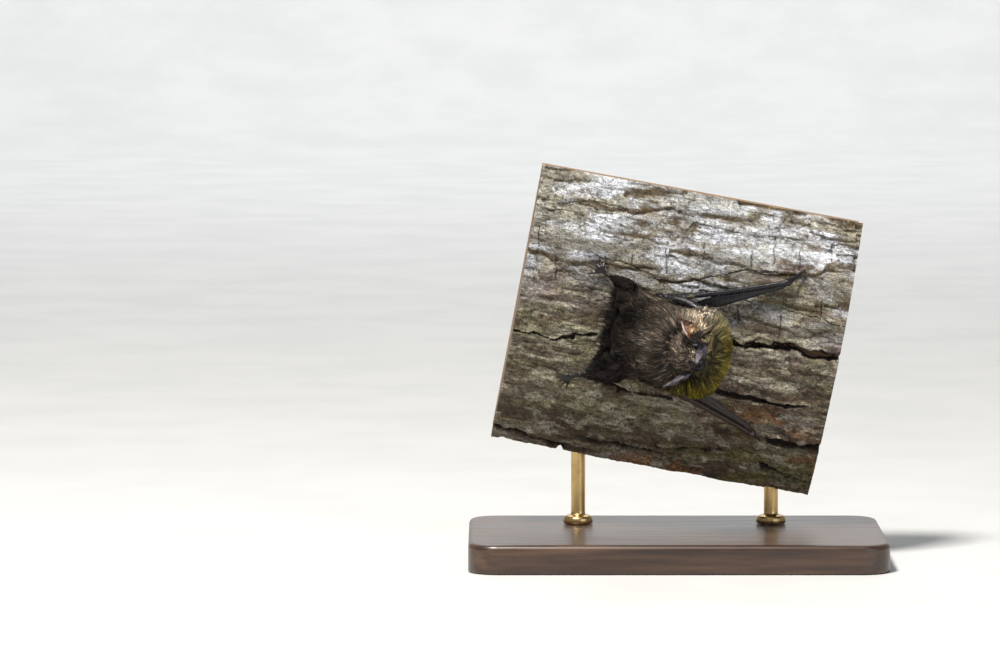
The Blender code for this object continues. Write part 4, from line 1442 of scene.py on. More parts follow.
def tuft_shapes(roots, normals, dice):
    """Middle, tip and half width of every tuft, its lock, how central it is there, and if it is frosted."""
    head = on_head(roots)
    way = lie(roots, normals)
    depth = coat_depth(roots)
    throat = soft_step(35, 41, roots[:, 0]) * (1 - head)
    long_here = soft_step(5, 10, roots[:, 0]) * soft_step(14, 10, np.abs(roots[:, 1]))
    depth = np.where(limb_roots, 0.45 + 1.3 * long_here, depth)
    depth = np.where(arm_roots, 0.45, depth)
    rise = np.radians(30 + 20 * throat + 8 * (waves(roots, 5.0, 31) - 0.5) + dice.normal(0, 6, len(roots)))
    rise = np.clip(rise, 0.25, 1.2)
    length = (depth / np.sin(rise)) * (0.72 + 0.5 * dice.random(len(roots)))
    length = length * (0.85 + 0.3 * waves(roots, 6.0, 33))
    length = length * (1 - 0.3 * shoulder_patch(roots))
    length = length * (0.45 + 0.55 * soft_step(1.5, 3.6, near_ears(roots)))
    length = np.clip(length, 0.45, 6.5)
    along_arm = np.where(roots[:, 1:2] > 0, arm_ways["left"], arm_ways["right"])
    way = np.where(arm_roots[:, None], unit(along_arm), way)
    rise = np.where(arm_roots, 0.3, rise)
    way = unit(way + dice.normal(0, 1, roots.shape) * (0.15 + 0.2 * shoulder_patch(roots))[:, None])
    way = unit(way - normals * (way * normals).sum(1, keepdims=True))
    steep, flat = rise + 0.22, rise - 0.28
    lower_way = way * np.cos(steep)[:, None] + normals * np.sin(steep)[:, None]
    upper_way = way * np.cos(flat)[:, None] + normals * np.sin(flat)[:, None]
    middle = roots + lower_way * (length * 0.5)[:, None]
    tip = middle + upper_way * (length * 0.55)[:, None]
    lead = dice.choice(len(roots), len(roots) // LOCK_SIZE, replace=False)
    lock = nearest(roots[lead], roots)
    pull = (0.45 + 0.4 * waves(roots, 9.0, 35)) * (1 - 0.4 * head) * (1 - 0.45 * throat)
    lead_way = (tip - roots)[lead][lock]
    target = roots[lead][lock] + lead_way * (length / np.maximum(length[lead][lock], 0.2))[:, None]
    tip = tip + (target - tip) * pull[:, None]
    middle = middle + (target - tip) * (pull * 0.12)[:, None]
    half_width = np.interp(length, [0.5, 1.5, 4.0], [0.045, 0.065, 0.09])
    half_width = half_width * (0.75 + 0.5 * dice.random(len(roots)))
    half_width = np.where(arm_roots, 0.05, half_width)
    core = fade(np.linalg.norm(roots - roots[lead][lock], axis=1), CORE_REACH)
    frosted = (dice.random(len(lead)) < FROSTED_SHARE)[lock] & (core > 0.72) & ~arm_roots
    half_width = half_width * np.where(frosted, 1.5 - 0.45 * shoulder_patch(roots), 1.0)
    tip = tip + normals * np.where(frosted, 0.12, 0.0)[:, None]
    return middle, tip, half_width, lock, core, frosted


def on_kind(found, *wanted):
    """True where the kind that was found is one of the wanted ones."""
    return np.isin(found, [kinds.index(kind) for kind in wanted])


root_kind = marker_kinds[nearest(markers, roots)]
limb_roots = on_kind(root_kind, "membrane", "shank", "fur_limb")
arm_roots = on_kind(root_kind, "arm", "hand")
dice = np.random.default_rng(12)
middles, tips, half_widths, locks, cores, frosted = tuft_shapes(roots, normals, dice)

coat_solids = ["chest", "abdomen", "neck", "head", "upper_arm_right", "thigh_left", "thigh_right"]
shell_points, shell_faces = joined([solid(name) for name in coat_solids])
shell = BVHTree.FromPolygons(shell_points.tolist(), shell_faces.tolist())
stand_out = 0.45 * dice.random(len(roots)) - 0.9 * soft_step(36, 41, roots[:, 0])
at_shoulder = 1.3 * soft_step(7, 11, roots[:, 1]) * soft_step(25, 28, roots[:, 0])
stand_out -= at_shoulder * soft_step(41, 37, roots[:, 0])


def outside_by(points):
    """Offset of each point from the nearest place of the shell, and its distance, negative inside."""
    found = [shell.find_nearest(point)[:2] for point in points]
    place, way = (np.array([row[k] for row in found]) for k in (0, 1))
    offset = points - place
    outward = way + unit(place - body_middle(place)) * 0.6
    return offset, np.copysign(np.linalg.norm(offset, axis=1), (offset * outward).sum(1))


held_back = 0
combed = np.where(~arm_roots)[0]
root_gap = outside_by(roots[combed])[1]
for spots, share in ((middles, 0.5), (tips, 1.0)):
    offset, gap = outside_by(spots[combed])
    proud = root_gap + 0.5 * share
    proud = np.where(roots[combed, 0] > 26, np.minimum(proud, 0.9), proud)
    excess = gap - np.maximum(stand_out[combed] * share, proud)
    free = (gap > 2.5) & limb_roots[combed] & (roots[combed, 0] < 20)
    move = (excess > 0) & ~free
    spots[combed[move]] -= unit(offset[move]) * np.copysign(excess, gap)[move, None]
    held_back += int(move.sum())
    ground = bark_n(np.clip(spots[:, 1], -40, 40)) + 0.35
    spots[:, 2] = np.maximum(spots[:, 2], ground)
print("tuft points combed down to the solids' outside:", held_back)
print("mean tuft length:", round(float(np.linalg.norm(tips - roots, axis=1).mean()), 2), "mm")


# %% [markdown]
# ### Building the tufts
#
# Every tuft is copied from one pattern of seven vertices and ten triangles. Its texture patch sits
# where its root lies on an unwrap of the body, round the trunk's length, or round the head from the
# nose back, so that a bake gives neighbouring tufts neighbouring places.

# %% Tuft pattern
FACES = np.array([[0, 1, 4], [0, 4, 3], [1, 2, 5], [1, 5, 4], [2, 0, 3], [2, 3, 5],
                  [3, 4, 6], [4, 5, 6], [5, 3, 6], [2, 1, 0]])
PATCH = 0.003


def pattern_uv():
    """Texture corners of the ten triangles in a unit patch."""
    spots = []
    for side_number in range(3):
        left, right = side_number / 3, (side_number + 1) / 3
        spots.append([(left, 0.1), (right, 0.1), (right, 0.55)])
        spots.append([(left, 0.1), (right, 0.55), (left, 0.55)])
    for side_number in range(3):
        left, right = side_number / 3, (side_number + 1) / 3
        spots.append([(left, 0.55), (right, 0.55), ((left + right) / 2, 1.0)])
    spots.append([(0.6, 0.0), (0.4, 0.0), (0.5, 0.09)])
    return np.array(spots)


def unwrap_body(points):
    """Places from 0 to 1 round the trunk of the body."""
    axis_n = np.interp(points[:, 0], [9, 20, 30, 44], [4.5, 8.8, 12.5, 15.5])
    angle = np.arctan2(points[:, 1], points[:, 2] - axis_n)
    return np.stack([(points[:, 0] + 6) / 56, angle / math.tau + 0.5], 1)


def unwrap_head(points):
    """Places from 0 to 1 round the head, from the nose back."""
    back, across, up = in_head(points)
    angle = np.arctan2(across, up)
    return np.stack([(back + 1) / 17, angle / math.tau + 0.5], 1)


def coat_piece(name, chosen, colours, unwrap, finish):
    """One mesh of all the chosen tufts."""
    root, middle, tip, width = roots[chosen], middles[chosen], tips[chosen], half_widths[chosen][:, None]
    way = normals[chosen]
    along = unit(tip - root)
    side = unit(np.cross(along, way))
    over = np.cross(side, along)
    low = root - way * 0.12
    ring = [side * width, -side * width, over * width * 0.9]
    corners = [low + offset for offset in ring] + [middle + offset * 0.8 for offset in ring] + [tip]
    points = np.stack(corners, 1)
    count = len(root)
    faces = (FACES[None] + (np.arange(count) * 7)[:, None, None]).reshape(-1, 3)
    shades = np.repeat(colours[:, None], 7, 1)
    shades[:, :3] *= 0.15
    shades[:, 3:6] *= middle_gains[chosen][:, None, None]
    shades[:, 6] *= tip_gains[chosen][:, None]
    paint = {"coat": shades.reshape(-1, 3)}
    made = piece(name, points.reshape(-1, 3), faces, finish, "brown_fur", painted=paint)
    layer = made.data.uv_layers.new(name="OFBake")
    flat = unwrap(root)
    flat = (flat - flat.min(0)) / np.maximum(np.ptp(flat, axis=0), 1e-6) * 0.96 + 0.018
    uv = flat[:, None, None] + pattern_uv()[None] * PATCH
    layer.data.foreach_set("uv", uv.astype(np.float32).ravel())
    return made


# %% Fur finish
fur = Finish("brown_fur", Roughness=0.6, Specular_IOR_Level=0.2)
speckle = fur.noise(0.4, 2)
fur_finish = fur.set(Base_Color=fur.shade(fur.painted("coat"), speckle.ramp(0.3, 0.7, 0.8, 1.22)))

# %% Grizzled tips, and the pieces of the coat
TUFTS_PER_PIECE = 19800
ARM_CREAM = (0.30, 0.26, 0.17)
ARM_BROWN = (0.06, 0.052, 0.03)
WARMTH = np.array([0.08, 0.0, -0.12])
dice = np.random.default_rng(13)


def per_lock():
    """One random number for each lock, given to all its tufts."""
    return dice.normal(0, 1, locks.max() + 1)[locks]


lock_shade = per_lock()
root_colours = coat_colour(roots)
root_colours[arm_roots] = ARM_CREAM
root_colours[arm_roots & (roots[:, 1] < 0)] = ARM_BROWN
of_throat = soft_step(34, 39, roots[:, 0])
shade = np.clip((0.85 - 0.45 * of_throat) * lock_shade + dice.normal(0, 0.45, len(roots)), -2.0, 1.35)
# painted highlight on the middle of each lock and painted shade at the borders between locks
lift = 0.42 + 0.2 * of_throat + (0.65 - 0.2 * of_throat) * cores
root_colours = root_colours * (np.exp(shade) * lift)[:, None]
warm = np.clip(0.7 * per_lock() + 0.5 * dice.normal(0, 1, len(roots)), -1.6, 1.6)
root_colours = root_colours * np.exp(warm[:, None] * WARMTH)
strength = (1 - 0.45 * of_throat) * (1 - 0.45 * shoulder_patch(roots))
strength = strength * (1 - 0.35 * soft_step(14, 6, roots[:, 0]))
middle_gains = 0.75 + 0.9 * frosted * strength
tip_gains = 1.15 + 0.5 * dice.random(len(roots)) + 1.9 * frosted * strength

head_share = on_head(roots)
sections = {
    "coat_head": head_share > 0.5,
    "coat_limbs": limb_roots | arm_roots,
    "coat_belly": normals[:, 2] < -0.25,
    "coat_throat_left": (roots[:, 0] > 35) & (roots[:, 1] >= 0),
    "coat_throat_right": (roots[:, 0] > 35) & (roots[:, 1] < 0),
    "coat_mantle_left": (roots[:, 0] > 24.5) & (roots[:, 1] >= 0),
    "coat_mantle_right": (roots[:, 0] > 24.5) & (roots[:, 1] < 0),
    "coat_back_left": roots[:, 1] >= 0,
    "coat_back_right": roots[:, 1] < 0,
}
free = np.ones(len(roots), bool)
for name, wanted in sections.items():
    chosen = np.where(free & wanted)[0]
    free[chosen] = False
    unwrap = unwrap_head if name == "coat_head" else unwrap_body
    parts = math.ceil(len(chosen) / TUFTS_PER_PIECE)
    for number, part in enumerate(np.array_split(chosen, max(parts, 1))):
        label = name if parts == 1 else f"{name}_{number + 1}"
        coat_piece(label, part, root_colours[part], unwrap, fur_finish)
        print(label, len(part), "tufts,", len(part) * 10, "triangles")

# %% [markdown]
# ## Bark
#
# The trunk's surface is older than any other part of the model: grey plates with thin lichen, split
# by long dark fissures that follow the grain, and crossed by fine cracks where the plates dried.
# A bump map alone would leave the outline and the claws' footing smooth, so the relief is real: a
# grid of about a third of a millimetre is pushed in and out along the trunk's radius.
#
# The relief is built like the real thing. Plates overlap like shingles, fissures cut through them,
# and fine fibres run along everything. The same numbers then decide the colours: lichen grows on
# what stands out, and what lies deep is darker, partly as dirt and partly as painted shade. The
# fissures, the grooves and the undersides of the ledges get painted shade, and slopes that face up
# are painted paler, partly as painted highlight.


# %% Numbers that vary smoothly
def lattice_noise(x, y, seed):
    """Smooth noise between 0 and 1 with one random value at each whole number."""
    table = np.random.default_rng(seed).random((97, 89))
    x0, y0 = np.floor(x).astype(int), np.floor(y).astype(int)
    fx, fy = x - x0, y - y0
    fx, fy = fx * fx * (3 - 2 * fx), fy * fy * (3 - 2 * fy)
    a, b = table[x0 % 97, y0 % 89], table[(x0 + 1) % 97, y0 % 89]
    c, d = table[x0 % 97, (y0 + 1) % 89], table[(x0 + 1) % 97, (y0 + 1) % 89]
    return (a + (b - a) * fx) * (1 - fy) + (c + (d - c) * fx) * fy


def fibre(u, w, along, across, seed, octaves=4):
    """Layered noise, stretched to features of so many millimetres along and across the trunk."""
    total, weight = 0.0, 0.0
    for octave in range(octaves):
        k = 2.0**octave
        total = total + lattice_noise(u * k / along + 7.3 * octave, w * k / across, seed + octave) / k
        weight += 1 / k
    return total / weight


def plates(x, y, seed):
    """Squarish cells one unit apart: distance to the nearest border, a number per cell, place in it."""
    table = np.random.default_rng(seed).random((61, 67, 3))
    column, line = np.floor(x).astype(int), np.floor(y).astype(int)
    best, second = np.full(x.shape, 9.0), np.full(x.shape, 9.0)
    number, rise = np.zeros(x.shape), np.zeros(x.shape)
    for i in (-1, 0, 1):
        for j in (-1, 0, 1):
            dice = table[(column + i) % 61, (line + j) % 67]
            dx = x - column - i - 0.1 - 0.8 * dice[..., 0]
            dy = y - line - j - 0.1 - 0.8 * dice[..., 1]
            away = 0.6 * np.maximum(np.abs(dx), np.abs(dy)) + 0.4 * np.hypot(dx, dy)
            closer = away < best
            second = np.where(closer, best, np.minimum(second, away))
            best = np.where(closer, away, best)
            number = np.where(closer, dice[..., 2], number)
            rise = np.where(closer, dy, rise)
    return second - best, number, rise


def ledges(u, w, length, period, seed):
    """Overlapping flakes, each thicker towards its lower edge: height, underside and number."""
    number = plates(u / length, w / (2.0 * period), seed)[1]
    place = 1.4 * fibre(u, w, length * 1.3, period * 2.0, seed + 3, 4) + 0.55 * number - w / period
    place = place - np.floor(place)
    strength = soft_step(0.30, 0.62, fibre(u, w, length, period * 1.4, seed + 9, 2))
    height = np.minimum(place / 0.84, 1) * soft_step(1.0, 0.84, place)
    under = soft_step(0.80, 0.90, place) + soft_step(0.10, 0.0, place)
    return height * strength, under * strength, number


# %% Fissures
FISSURES = (  # half width, depth, then the points that the fissure passes through
    (0.85, 3.0, ((40, 1.2), (44, 1.5), (49, 1.5), (55, 2.3), (59, 3.5), (65, 3.6), (69, 2.7), (75, 2.9),
                 (80, 4.2))),
    (0.4, 1.5, ((-24, -7.1), (-17, -6.4), (-12, -6.7), (-8.8, -7.3), (-5.2, -5.8), (-1.5, -4.5),
                (3.3, -3.4))),
    (0.6, 2.0, ((40, -14.2), (46, -15.2), (52, -14.5), (58, -14.9), (65, -15.1), (70, -14.3))),
    (0.4, 1.5, ((1, -17.3), (5.7, -17.7), (10.5, -18.4), (14, -19.6), (18.5, -19.2), (24, -18.9),
                (30, -19.6))),
    (0.6, 2.2, ((-25, -39.4), (-16, -39.4), (-11, -40.6), (-6, -41.4), (0, -43))),
    (0.55, 1.8, ((7.4, -38.1), (14.5, -38.4), (21, -38.5), (30, -38.3))),
    (0.5, 1.7, ((28, -36.2), (33, -36.4), (37.4, -34.8), (43.6, -34.6), (48, -33.2))),
    (1.0, 2.6, ((62, -27), (68, -27.4), (73, -27.3), (76, -27.5), (82, -25.6))),
    (0.45, 1.5, ((61, -35.9), (68, -38.1), (73, -38.8), (80, -38.3))),
    (0.45, 1.6, ((16, 16.6), (22.5, 16.6), (28.5, 18), (33, 19.9), (40, 22.7), (47.5, 24.8), (54, 25.1),
                 (60, 25))),
    (0.3, 1.0, ((-2, 20.8), (3.3, 19.6), (9.5, 19.8), (14, 18.2))),
    (0.5, 1.4, ((-30, 32), (-24, 32.3), (-17, 32.9), (-10, 35.4), (-1, 35.9), (6, 34.8))),
    (0.35, 1.2, ((60, 14.8), (68, 14.1), (76, 12.8), (82, 12.8))),
)
CROSS_CRACKS = (  # across the grain, from (u, v) to (u, v)
    ((19.8, 26.2), (20.9, 19.0)), ((9.9, 22.6), (10, 19.6)), ((45.7, 30), (46.7, 24.6)),
    ((52.3, 35.3), (52.9, 27)), ((69.7, 36.8), (70.1, 31.5)), ((77.2, 34.5), (77.6, 29.4)),
    ((-13.1, 17.8), (-11.8, 11)), ((44.1, 13.9), (45.5, 8)), ((69.6, 19), (70.2, 13.6)),
    ((-20, 26), (-19, 20)), ((31, 30), (31.5, 25)), ((60, 33), (61, 27)), ((58, 13), (58.6, 6)),
)


# %% Height of the bark
GRIPS = [limb[side]["ankle"] for side in SIDES] + [limb[side]["wrist"] for side in SIDES]


def bark_relief(u, w):
    """Height over the smooth trunk, and the masks that the colours need."""
    v = TRUNK_RADIUS * np.sin(w / TRUNK_RADIUS)
    bend_u = u + 5.0 * (fibre(u, w, 16, 8, 40, 4) - 0.5)
    bend_w = w + 5.0 * (fibre(u, w, 38, 13, 50, 2) - 0.5) + 1.5 * (fibre(u, w, 4.5, 2.6, 54, 3) - 0.5)
    plated = soft_step(0, 20, v + 14 * (fibre(u, w, 26, 9, 60, 3) - 0.5))
    # ledges: every plate thickens towards its lower edge and breaks off there
    big, under_big, pick = ledges(bend_u, bend_w, 21, 9.5, 61)
    small, under_small, flake = ledges(bend_u + 3, bend_w, 9, 3.9, 67)
    edge = plates(bend_u / 8.5, bend_w / 4.6, 63)[0]
    crumbs = plates(u / 3.1 + 0.25 * fibre(u, w, 2, 2, 90, 2), w / 2.0, 65)
    groove = soft_step(0.08, 0.0, edge) * soft_step(0.44, 0.54, fibre(u, w, 9, 7, 94, 2))
    blocks = 0.30 * pick + 0.24 * flake + 0.16 * crumbs[1] - 0.08
    # fibres and grains
    strand = fibre(u, bend_w, 15, 2.6, 80, 4) - 0.5
    rough = fibre(u, w, 4.4, 3.0, 84, 5) - 0.5
    grain = fibre(u, w, 1.0, 0.8, 88, 2) - 0.5
    height = -1.0 + (0.35 + 0.65 * plated) * (1.45 * big + 0.65 * small) + blocks * (0.6 + 0.6 * plated)
    height = height + (1.3 - 1.0 * plated) * strand + (0.9 - 0.45 * plated) * rough
    height = height + (0.5 - 0.15 * plated) * grain
    height = height - 0.2 * groove
    gap, lip = np.zeros(u.shape), np.zeros(u.shape)
    ragged_u = u + 2.4 * (fibre(u, w, 2.6, 1.6, 70, 3) - 0.5)
    ragged_v = v + 2.3 * (fibre(u, w, 3.0, 1.6, 74, 4) - 0.5)
    thin = 0.25 + 1.25 * fibre(u, w, 6, 6, 78, 3) ** 1.5 * 1.6
    for half, deep, path in FISSURES:
        away = from_line(ragged_u, ragged_v, path) / (half * thin * (1 - 0.55 * soft_step(8, 16, path[0][1])))
        gap = np.maximum(gap, deep * soft_step(1.3, 0.35, away) * (1 - 0.6 * soft_step(8, 16, path[0][1])))
        lip = np.maximum(lip, soft_step(5.0, 1.5, away) * min(half, 0.6))
    for ends_of in CROSS_CRACKS:
        away = from_line(u + 0.5 * (ragged_u - u), v, ends_of)
        gap = np.maximum(gap, 0.5 * soft_step(0.3, 0.08, away))
    height = height + 0.5 * lip
    # where the bat holds on, the surface comes up to meet it
    for place in GRIPS:
        grip = np.exp(-(((u - place[0]) ** 2 + (v - place[1]) ** 2) / 3.6**2))
        height = height + (0.25 * (height + 0.2) - height - 0.2) * grip
    height = (height + 0.1 - np.sqrt((height - 0.1) ** 2 + 0.05)) / 2
    masks = {"plated": plated, "gap": gap, "groove": groove, "v": v, "pick": pick, "flake": flake,
             "under": np.clip(under_big + 0.7 * under_small, 0, 1), "crumb": crumbs[1]}
    return height - gap, masks


# %% Colours of the bark
BARK_TAN = (0.150, 0.126, 0.092)
WARM_GREY = (0.190, 0.160, 0.145)
BARK_OLIVE = (0.145, 0.138, 0.072)
BARK_DARK = (0.066, 0.045, 0.030)
BARK_PALE = (0.32, 0.295, 0.23)
LICHEN_GREY = (0.33, 0.335, 0.33)
LICHEN_BLUE = (0.54, 0.565, 0.62)
LICHEN_BROWN = (0.20, 0.185, 0.140)
LEDGE_SHADE = (0.090, 0.064, 0.033)
RUST = (0.150, 0.070, 0.024)
STAIN = (0.036, 0.020, 0.014)
CRUST = (0.25, 0.245, 0.165)
MOSS = (0.105, 0.105, 0.032)
PIT = (0.045, 0.038, 0.030)
GROOVE_SHADE = (0.045, 0.030, 0.020)
FISSURE_SHADE = (0.014, 0.009, 0.007)
# soft patches: strength, place (u, v), reach along and across
# patches where the pale lichen is thinner; a negative strength makes it thicker
LICHEN_THINNING = ((1, (16, 33), (11, 9)), (1, (66, 19), (12, 6)), (1, (-8, 9), (10, 6)), (0.5, (40, 38), (9, 4)),
        (0.55, (71, 35), (13, 6)), (-0.8, (-5, 27), (9, 6)))
RUSTY = ((1, (60, -21), (14, 5.5)), (1, (36, -44), (30, 5.0)), (0.8, (76, -34), (9, 5)))
STAINED = ((0.7, (55, -15.5), (13, 2.5)), (1, (47, -27), (4.5, 2.8)), (1, (70, -25), (7, 2.8)),
           (1, (8, -38), (9, 2.5)), (0.7, (30, -36), (12, 2.2)))


def bark_colour(u, w, height, masks):
    """Base colour at every point of the grid, from the height, its slope and layered noise."""
    facing_up = soft_step(0.55, -0.5, np.gradient(height, axis=1) / np.gradient(w, axis=1)).ravel()
    u, w, height = u.ravel(), w.ravel(), height.ravel()
    v, plated, gap, groove = (masks[name].ravel() for name in ("v", "plated", "gap", "groove"))
    pick, flake, under, crumb = (masks[name].ravel() for name in ("pick", "flake", "under", "crumb"))

    def noise(along, across, seed, octaves=5):
        return fibre(u, w, along, across, seed, octaves)

    def patches(table):
        return sum(strength * dab(u, v, at, reach) for strength, at, reach in table)

    # bare bark: tan, with grey, olive and dark patches
    tan = layered(
        np.tile(BARK_TAN, (len(u), 1)),
        (WARM_GREY, soft_step(0.48, 0.58, noise(17, 6, 120)) * 0.8),
        (BARK_OLIVE, soft_step(0.52, 0.64, noise(16, 6, 128)) * 0.6),
        (BARK_DARK, soft_step(0.52, 0.62, noise(12, 2.8, 124)) * 0.8),
        (BARK_PALE, soft_step(0.57, 0.64, noise(6, 2.0, 130)) * 0.65),
    )
    # thin pale lichen over the upper plates
    pale = layered(
        np.tile(LICHEN_GREY, (len(u), 1)),
        (LICHEN_BLUE, soft_step(0.45, 0.56, noise(10, 4, 132)) * 0.85),
        (LICHEN_BROWN, soft_step(0.50, 0.60, noise(11, 4, 136)) * 0.8),
    )
    mottling = (0.80 + 0.40 * flake) * (0.86 + 0.28 * crumb) * (0.72 + 0.28 * soft_step(14, 34, v))
    pale = pale * mottling[:, None]
    lichen_thinning = patches(LICHEN_THINNING)
    cover = plated * soft_step(0.26, 0.40, noise(13, 7, 140) + 0.10 * (pick - 0.5) - 0.13 * lichen_thinning)
    # pale lichen on up-facing slopes, made paler there partly as painted highlight
    cover = cover * (1 - 0.35 * np.clip(lichen_thinning, -0.5, 1)) * (0.55 + 0.45 * facing_up)
    colour = tan + (pale - tan) * cover[:, None]
    shaded = np.clip(under, 0, 1) * soft_step(0.25, 0.5, noise(9, 5, 144)) * (0.45 + 0.55 * plated)
    # rust, stains, crusts and moss of the lower side
    rust = np.clip(patches(RUSTY) * soft_step(0.42, 0.52, noise(6, 3, 148)) * 1.1, 0, 1)
    stain = np.clip(patches(STAINED) * soft_step(0.38, 0.48, noise(4, 2.4, 152)) * 1.2, 0, 1)
    crust = soft_step(0.57, 0.61, noise(3.4, 2.0, 156)) * soft_step(0.50, 0.58, noise(17, 7, 158))
    crust = crust * soft_step(4, -8, v)
    moss = soft_step(0.52, 0.60, noise(14, 5, 160)) * soft_step(-24, -38, v)
    pits = soft_step(0.60, 0.68, noise(1.1, 0.8, 162, 2)) * soft_step(0.46, 0.56, noise(12, 6, 164))
    colour = layered(
        colour,
        (LEDGE_SHADE, shaded * 0.9),
        (RUST, rust * 0.9),
        (STAIN, stain * 0.9),
        (CRUST, crust * 0.55),
        (MOSS, moss * 0.55),
        (PIT, pits * 0.65),
    )
    # fine streaks, dark seams, grains, and deep places darkened partly as dirt and partly as painted shade
    seam = soft_step(0.022, 0.004, np.abs(noise(13, 2.1, 166, 4) - 0.5))
    seam = seam * soft_step(0.42, 0.55, noise(10, 5, 167, 3))
    colour = colour * ((0.55 + 0.90 * noise(7, 1.5, 168)) * (1 - 0.6 * seam))[:, None]
    colour = colour * (0.55 + 0.90 * noise(0.8, 0.65, 170, 2))[:, None]
    # what lies deep is darker: dirt and painted shade
    colour = colour * (1 - 0.45 * soft_step(-0.9, -1.9, height))[:, None]
    return layered(
        colour,
        # painted shade in the grooves and fissures, the fissures darker the deeper they are
        (GROOVE_SHADE, np.clip(groove, 0, 1) * 0.45),
        (FISSURE_SHADE, np.clip(gap / 1.1, 0, 0.96)),
    )


# %% Bark and wood of the trunk piece
PERCH_HALF_ANGLE = math.radians(30.0)
BARK_THICKNESS = 3.4
COLUMNS, ROWS = 350, 316
INNER_ROWS = 60
WOOD_BROWN = (0.05, 0.03, 0.018)
tail_end, head_end = perch_low[0], perch_high[0]
edge = TRUNK_RADIUS * PERCH_HALF_ANGLE
grid_u, grid_w = np.meshgrid(
    np.linspace(tail_end + 0.01 - origin_mm[0], head_end - origin_mm[0] - 0.01, COLUMNS),
    np.linspace(-edge, edge, ROWS), indexing="ij",
)
relief, masks = bark_relief(grid_u, grid_w)


def on_trunk(u, w, height):
    """Points at a height over the smooth trunk, from places along it and round it."""
    angle = w / TRUNK_RADIUS
    radius = TRUNK_RADIUS + height
    return np.stack([u, radius * np.sin(angle), radius * np.cos(angle) - TRUNK_RADIUS], -1)


def sleeve(sections):
    """Quads round a stack of equal closed sections, and the two end caps."""
    rings, count = sections.shape[:2]
    index = np.arange(rings * count).reshape(rings, count)
    after = np.roll(index, -1, axis=1)
    quads = np.stack([index[:-1], index[1:], after[1:], after[:-1]], -1).reshape(-1, 4)
    return sections.reshape(-1, 3), quads, (index[0], index[-1][::-1])


outer = on_trunk(grid_u, grid_w, relief)
inner_w = np.linspace(edge, -edge, INNER_ROWS)
inner_u = np.repeat(grid_u[:, :1], INNER_ROWS, axis=1)
inner = on_trunk(inner_u, np.broadcast_to(inner_w, inner_u.shape), -BARK_THICKNESS - 0.8)
bark_points, bark_quads, bark_caps = sleeve(np.concatenate([outer, inner], 1))
outer_colour = bark_colour(grid_u, grid_w, relief, masks).reshape(COLUMNS, ROWS, 3)
inner_colour = np.full((COLUMNS, INNER_ROWS, 3), WOOD_BROWN)
bark_paint = np.concatenate([outer_colour, inner_colour], 1).reshape(-1, 3)
print("bark:", len(bark_quads) * 2, "triangles")
print("relief in mm from", round(float(relief.min()), 2), "to", round(float(relief.max()), 2))

# %% [markdown]
# ### Finish of the bark
#
# The vertices carry the broad colours. The finish adds fine fibres, a crust of lichen grains and a
# bump, with the grain running along the trunk. Noise in object space would run along the world's
# axes, so the coordinates are first turned into the trunk's own.

# %% Bark finish
bark = Finish("bark", Specular_IOR_Level=0.25)


def trunk_place(finish, along, across):
    """Coordinates that run along and across the trunk, with so many millimetres to a feature."""
    place = finish.place()
    ways = [AXES[0] / (along * MM), AXES[1] / (across * MM), AXES[2] / (across * MM)]
    spans = []
    for way in ways:
        inputs = {0: place, 1: tuple(way)}
        spans.append(finish.node("ShaderNodeVectorMath", {"operation": "DOT_PRODUCT"}, inputs, "Value"))
    return finish.node("ShaderNodeCombineXYZ", None, {"X": spans[0], "Y": spans[1], "Z": spans[2]})


def trunk_noise(finish, along, across, detail=4.0):
    """Noise that is stretched along the trunk."""
    inputs = {"Vector": trunk_place(finish, along, across), "Scale": 1.0, "Detail": detail, "Roughness": 0.6}
    return finish.node("ShaderNodeTexNoise", None, inputs)


fibres = trunk_noise(bark, 2.4, 0.5)
grains = trunk_noise(bark, 0.42, 0.36, 3.0)
crust_inputs = {"Vector": trunk_place(bark, 0.8, 0.6), "Scale": 1.0}
crust = bark.node("ShaderNodeTexVoronoi", None, crust_inputs, "Distance")
colour = bark.shade(bark.painted("bark"), fibres.ramp(0.32, 0.68, 0.76, 1.26))
colour = bark.shade(colour, grains.ramp(0.34, 0.66, 0.55, 1.5))
bark.bump(fibres * 0.4 + grains * 0.45 + crust * 0.3, 0.42)
bark_finish = bark.set(Base_Color=colour, Roughness=grains.ramp(0.3, 0.7, 0.78, 0.95))
bark_ends = [cap[::-1] for cap in bark_caps]
bark_paints = {"bark": bark_paint}
bark_object = piece("bark", bark_points, bark_quads[:, ::-1], bark_finish, "bark", bark_ends, bark_paints)
print("bark piece:", len(bark_points), "vertices")

# %% [markdown]
# ### Split and sawn wood
#
# Behind the bark the piece is pale wood: sawn across at both ends, where the year rings show, and
# split along the grain at the back. The rings are circles round the middle of the whole trunk, which
# lies far behind the piece, so they follow the bark's curve.

# %% Wood
YEAR_RING = 1.7
WOOD_STATIONS = 90
FRONT_STEPS, SIDE_STEPS, BACK_STEPS = 40, 12, 56

timber = Finish("split_wood", Specular_IOR_Level=0.3)
axis_point = ORIGIN - AXES[2] * TRUNK_RADIUS * MM
spread = []
for way in (AXES[1], AXES[2]):
    inputs = {0: timber.place(), 1: tuple(way)}
    dot = timber.node("ShaderNodeVectorMath", {"operation": "DOT_PRODUCT"}, inputs, "Value")
    spread.append(dot - float(way @ axis_point))
radius = (spread[0] * spread[0] + spread[1] * spread[1]) ** 0.5
wander = trunk_noise(timber, 40, 6, 2.0)
year = radius * (math.tau / (YEAR_RING * MM)) + wander * 9.0
rings = timber.node("ShaderNodeMath", {"operation": "SINE"}, {0: year}) * 0.5 + 0.5
pores = trunk_noise(timber, 5, 0.35)
colour = timber.mix((0.30, 0.20, 0.115), (0.175, 0.105, 0.055), rings.ramp(0.35, 0.95))
near_bark = radius.ramp((TRUNK_RADIUS - 5.5) * MM, (TRUNK_RADIUS - 3.6) * MM)
colour = timber.mix(colour, (0.11, 0.062, 0.032), near_bark)
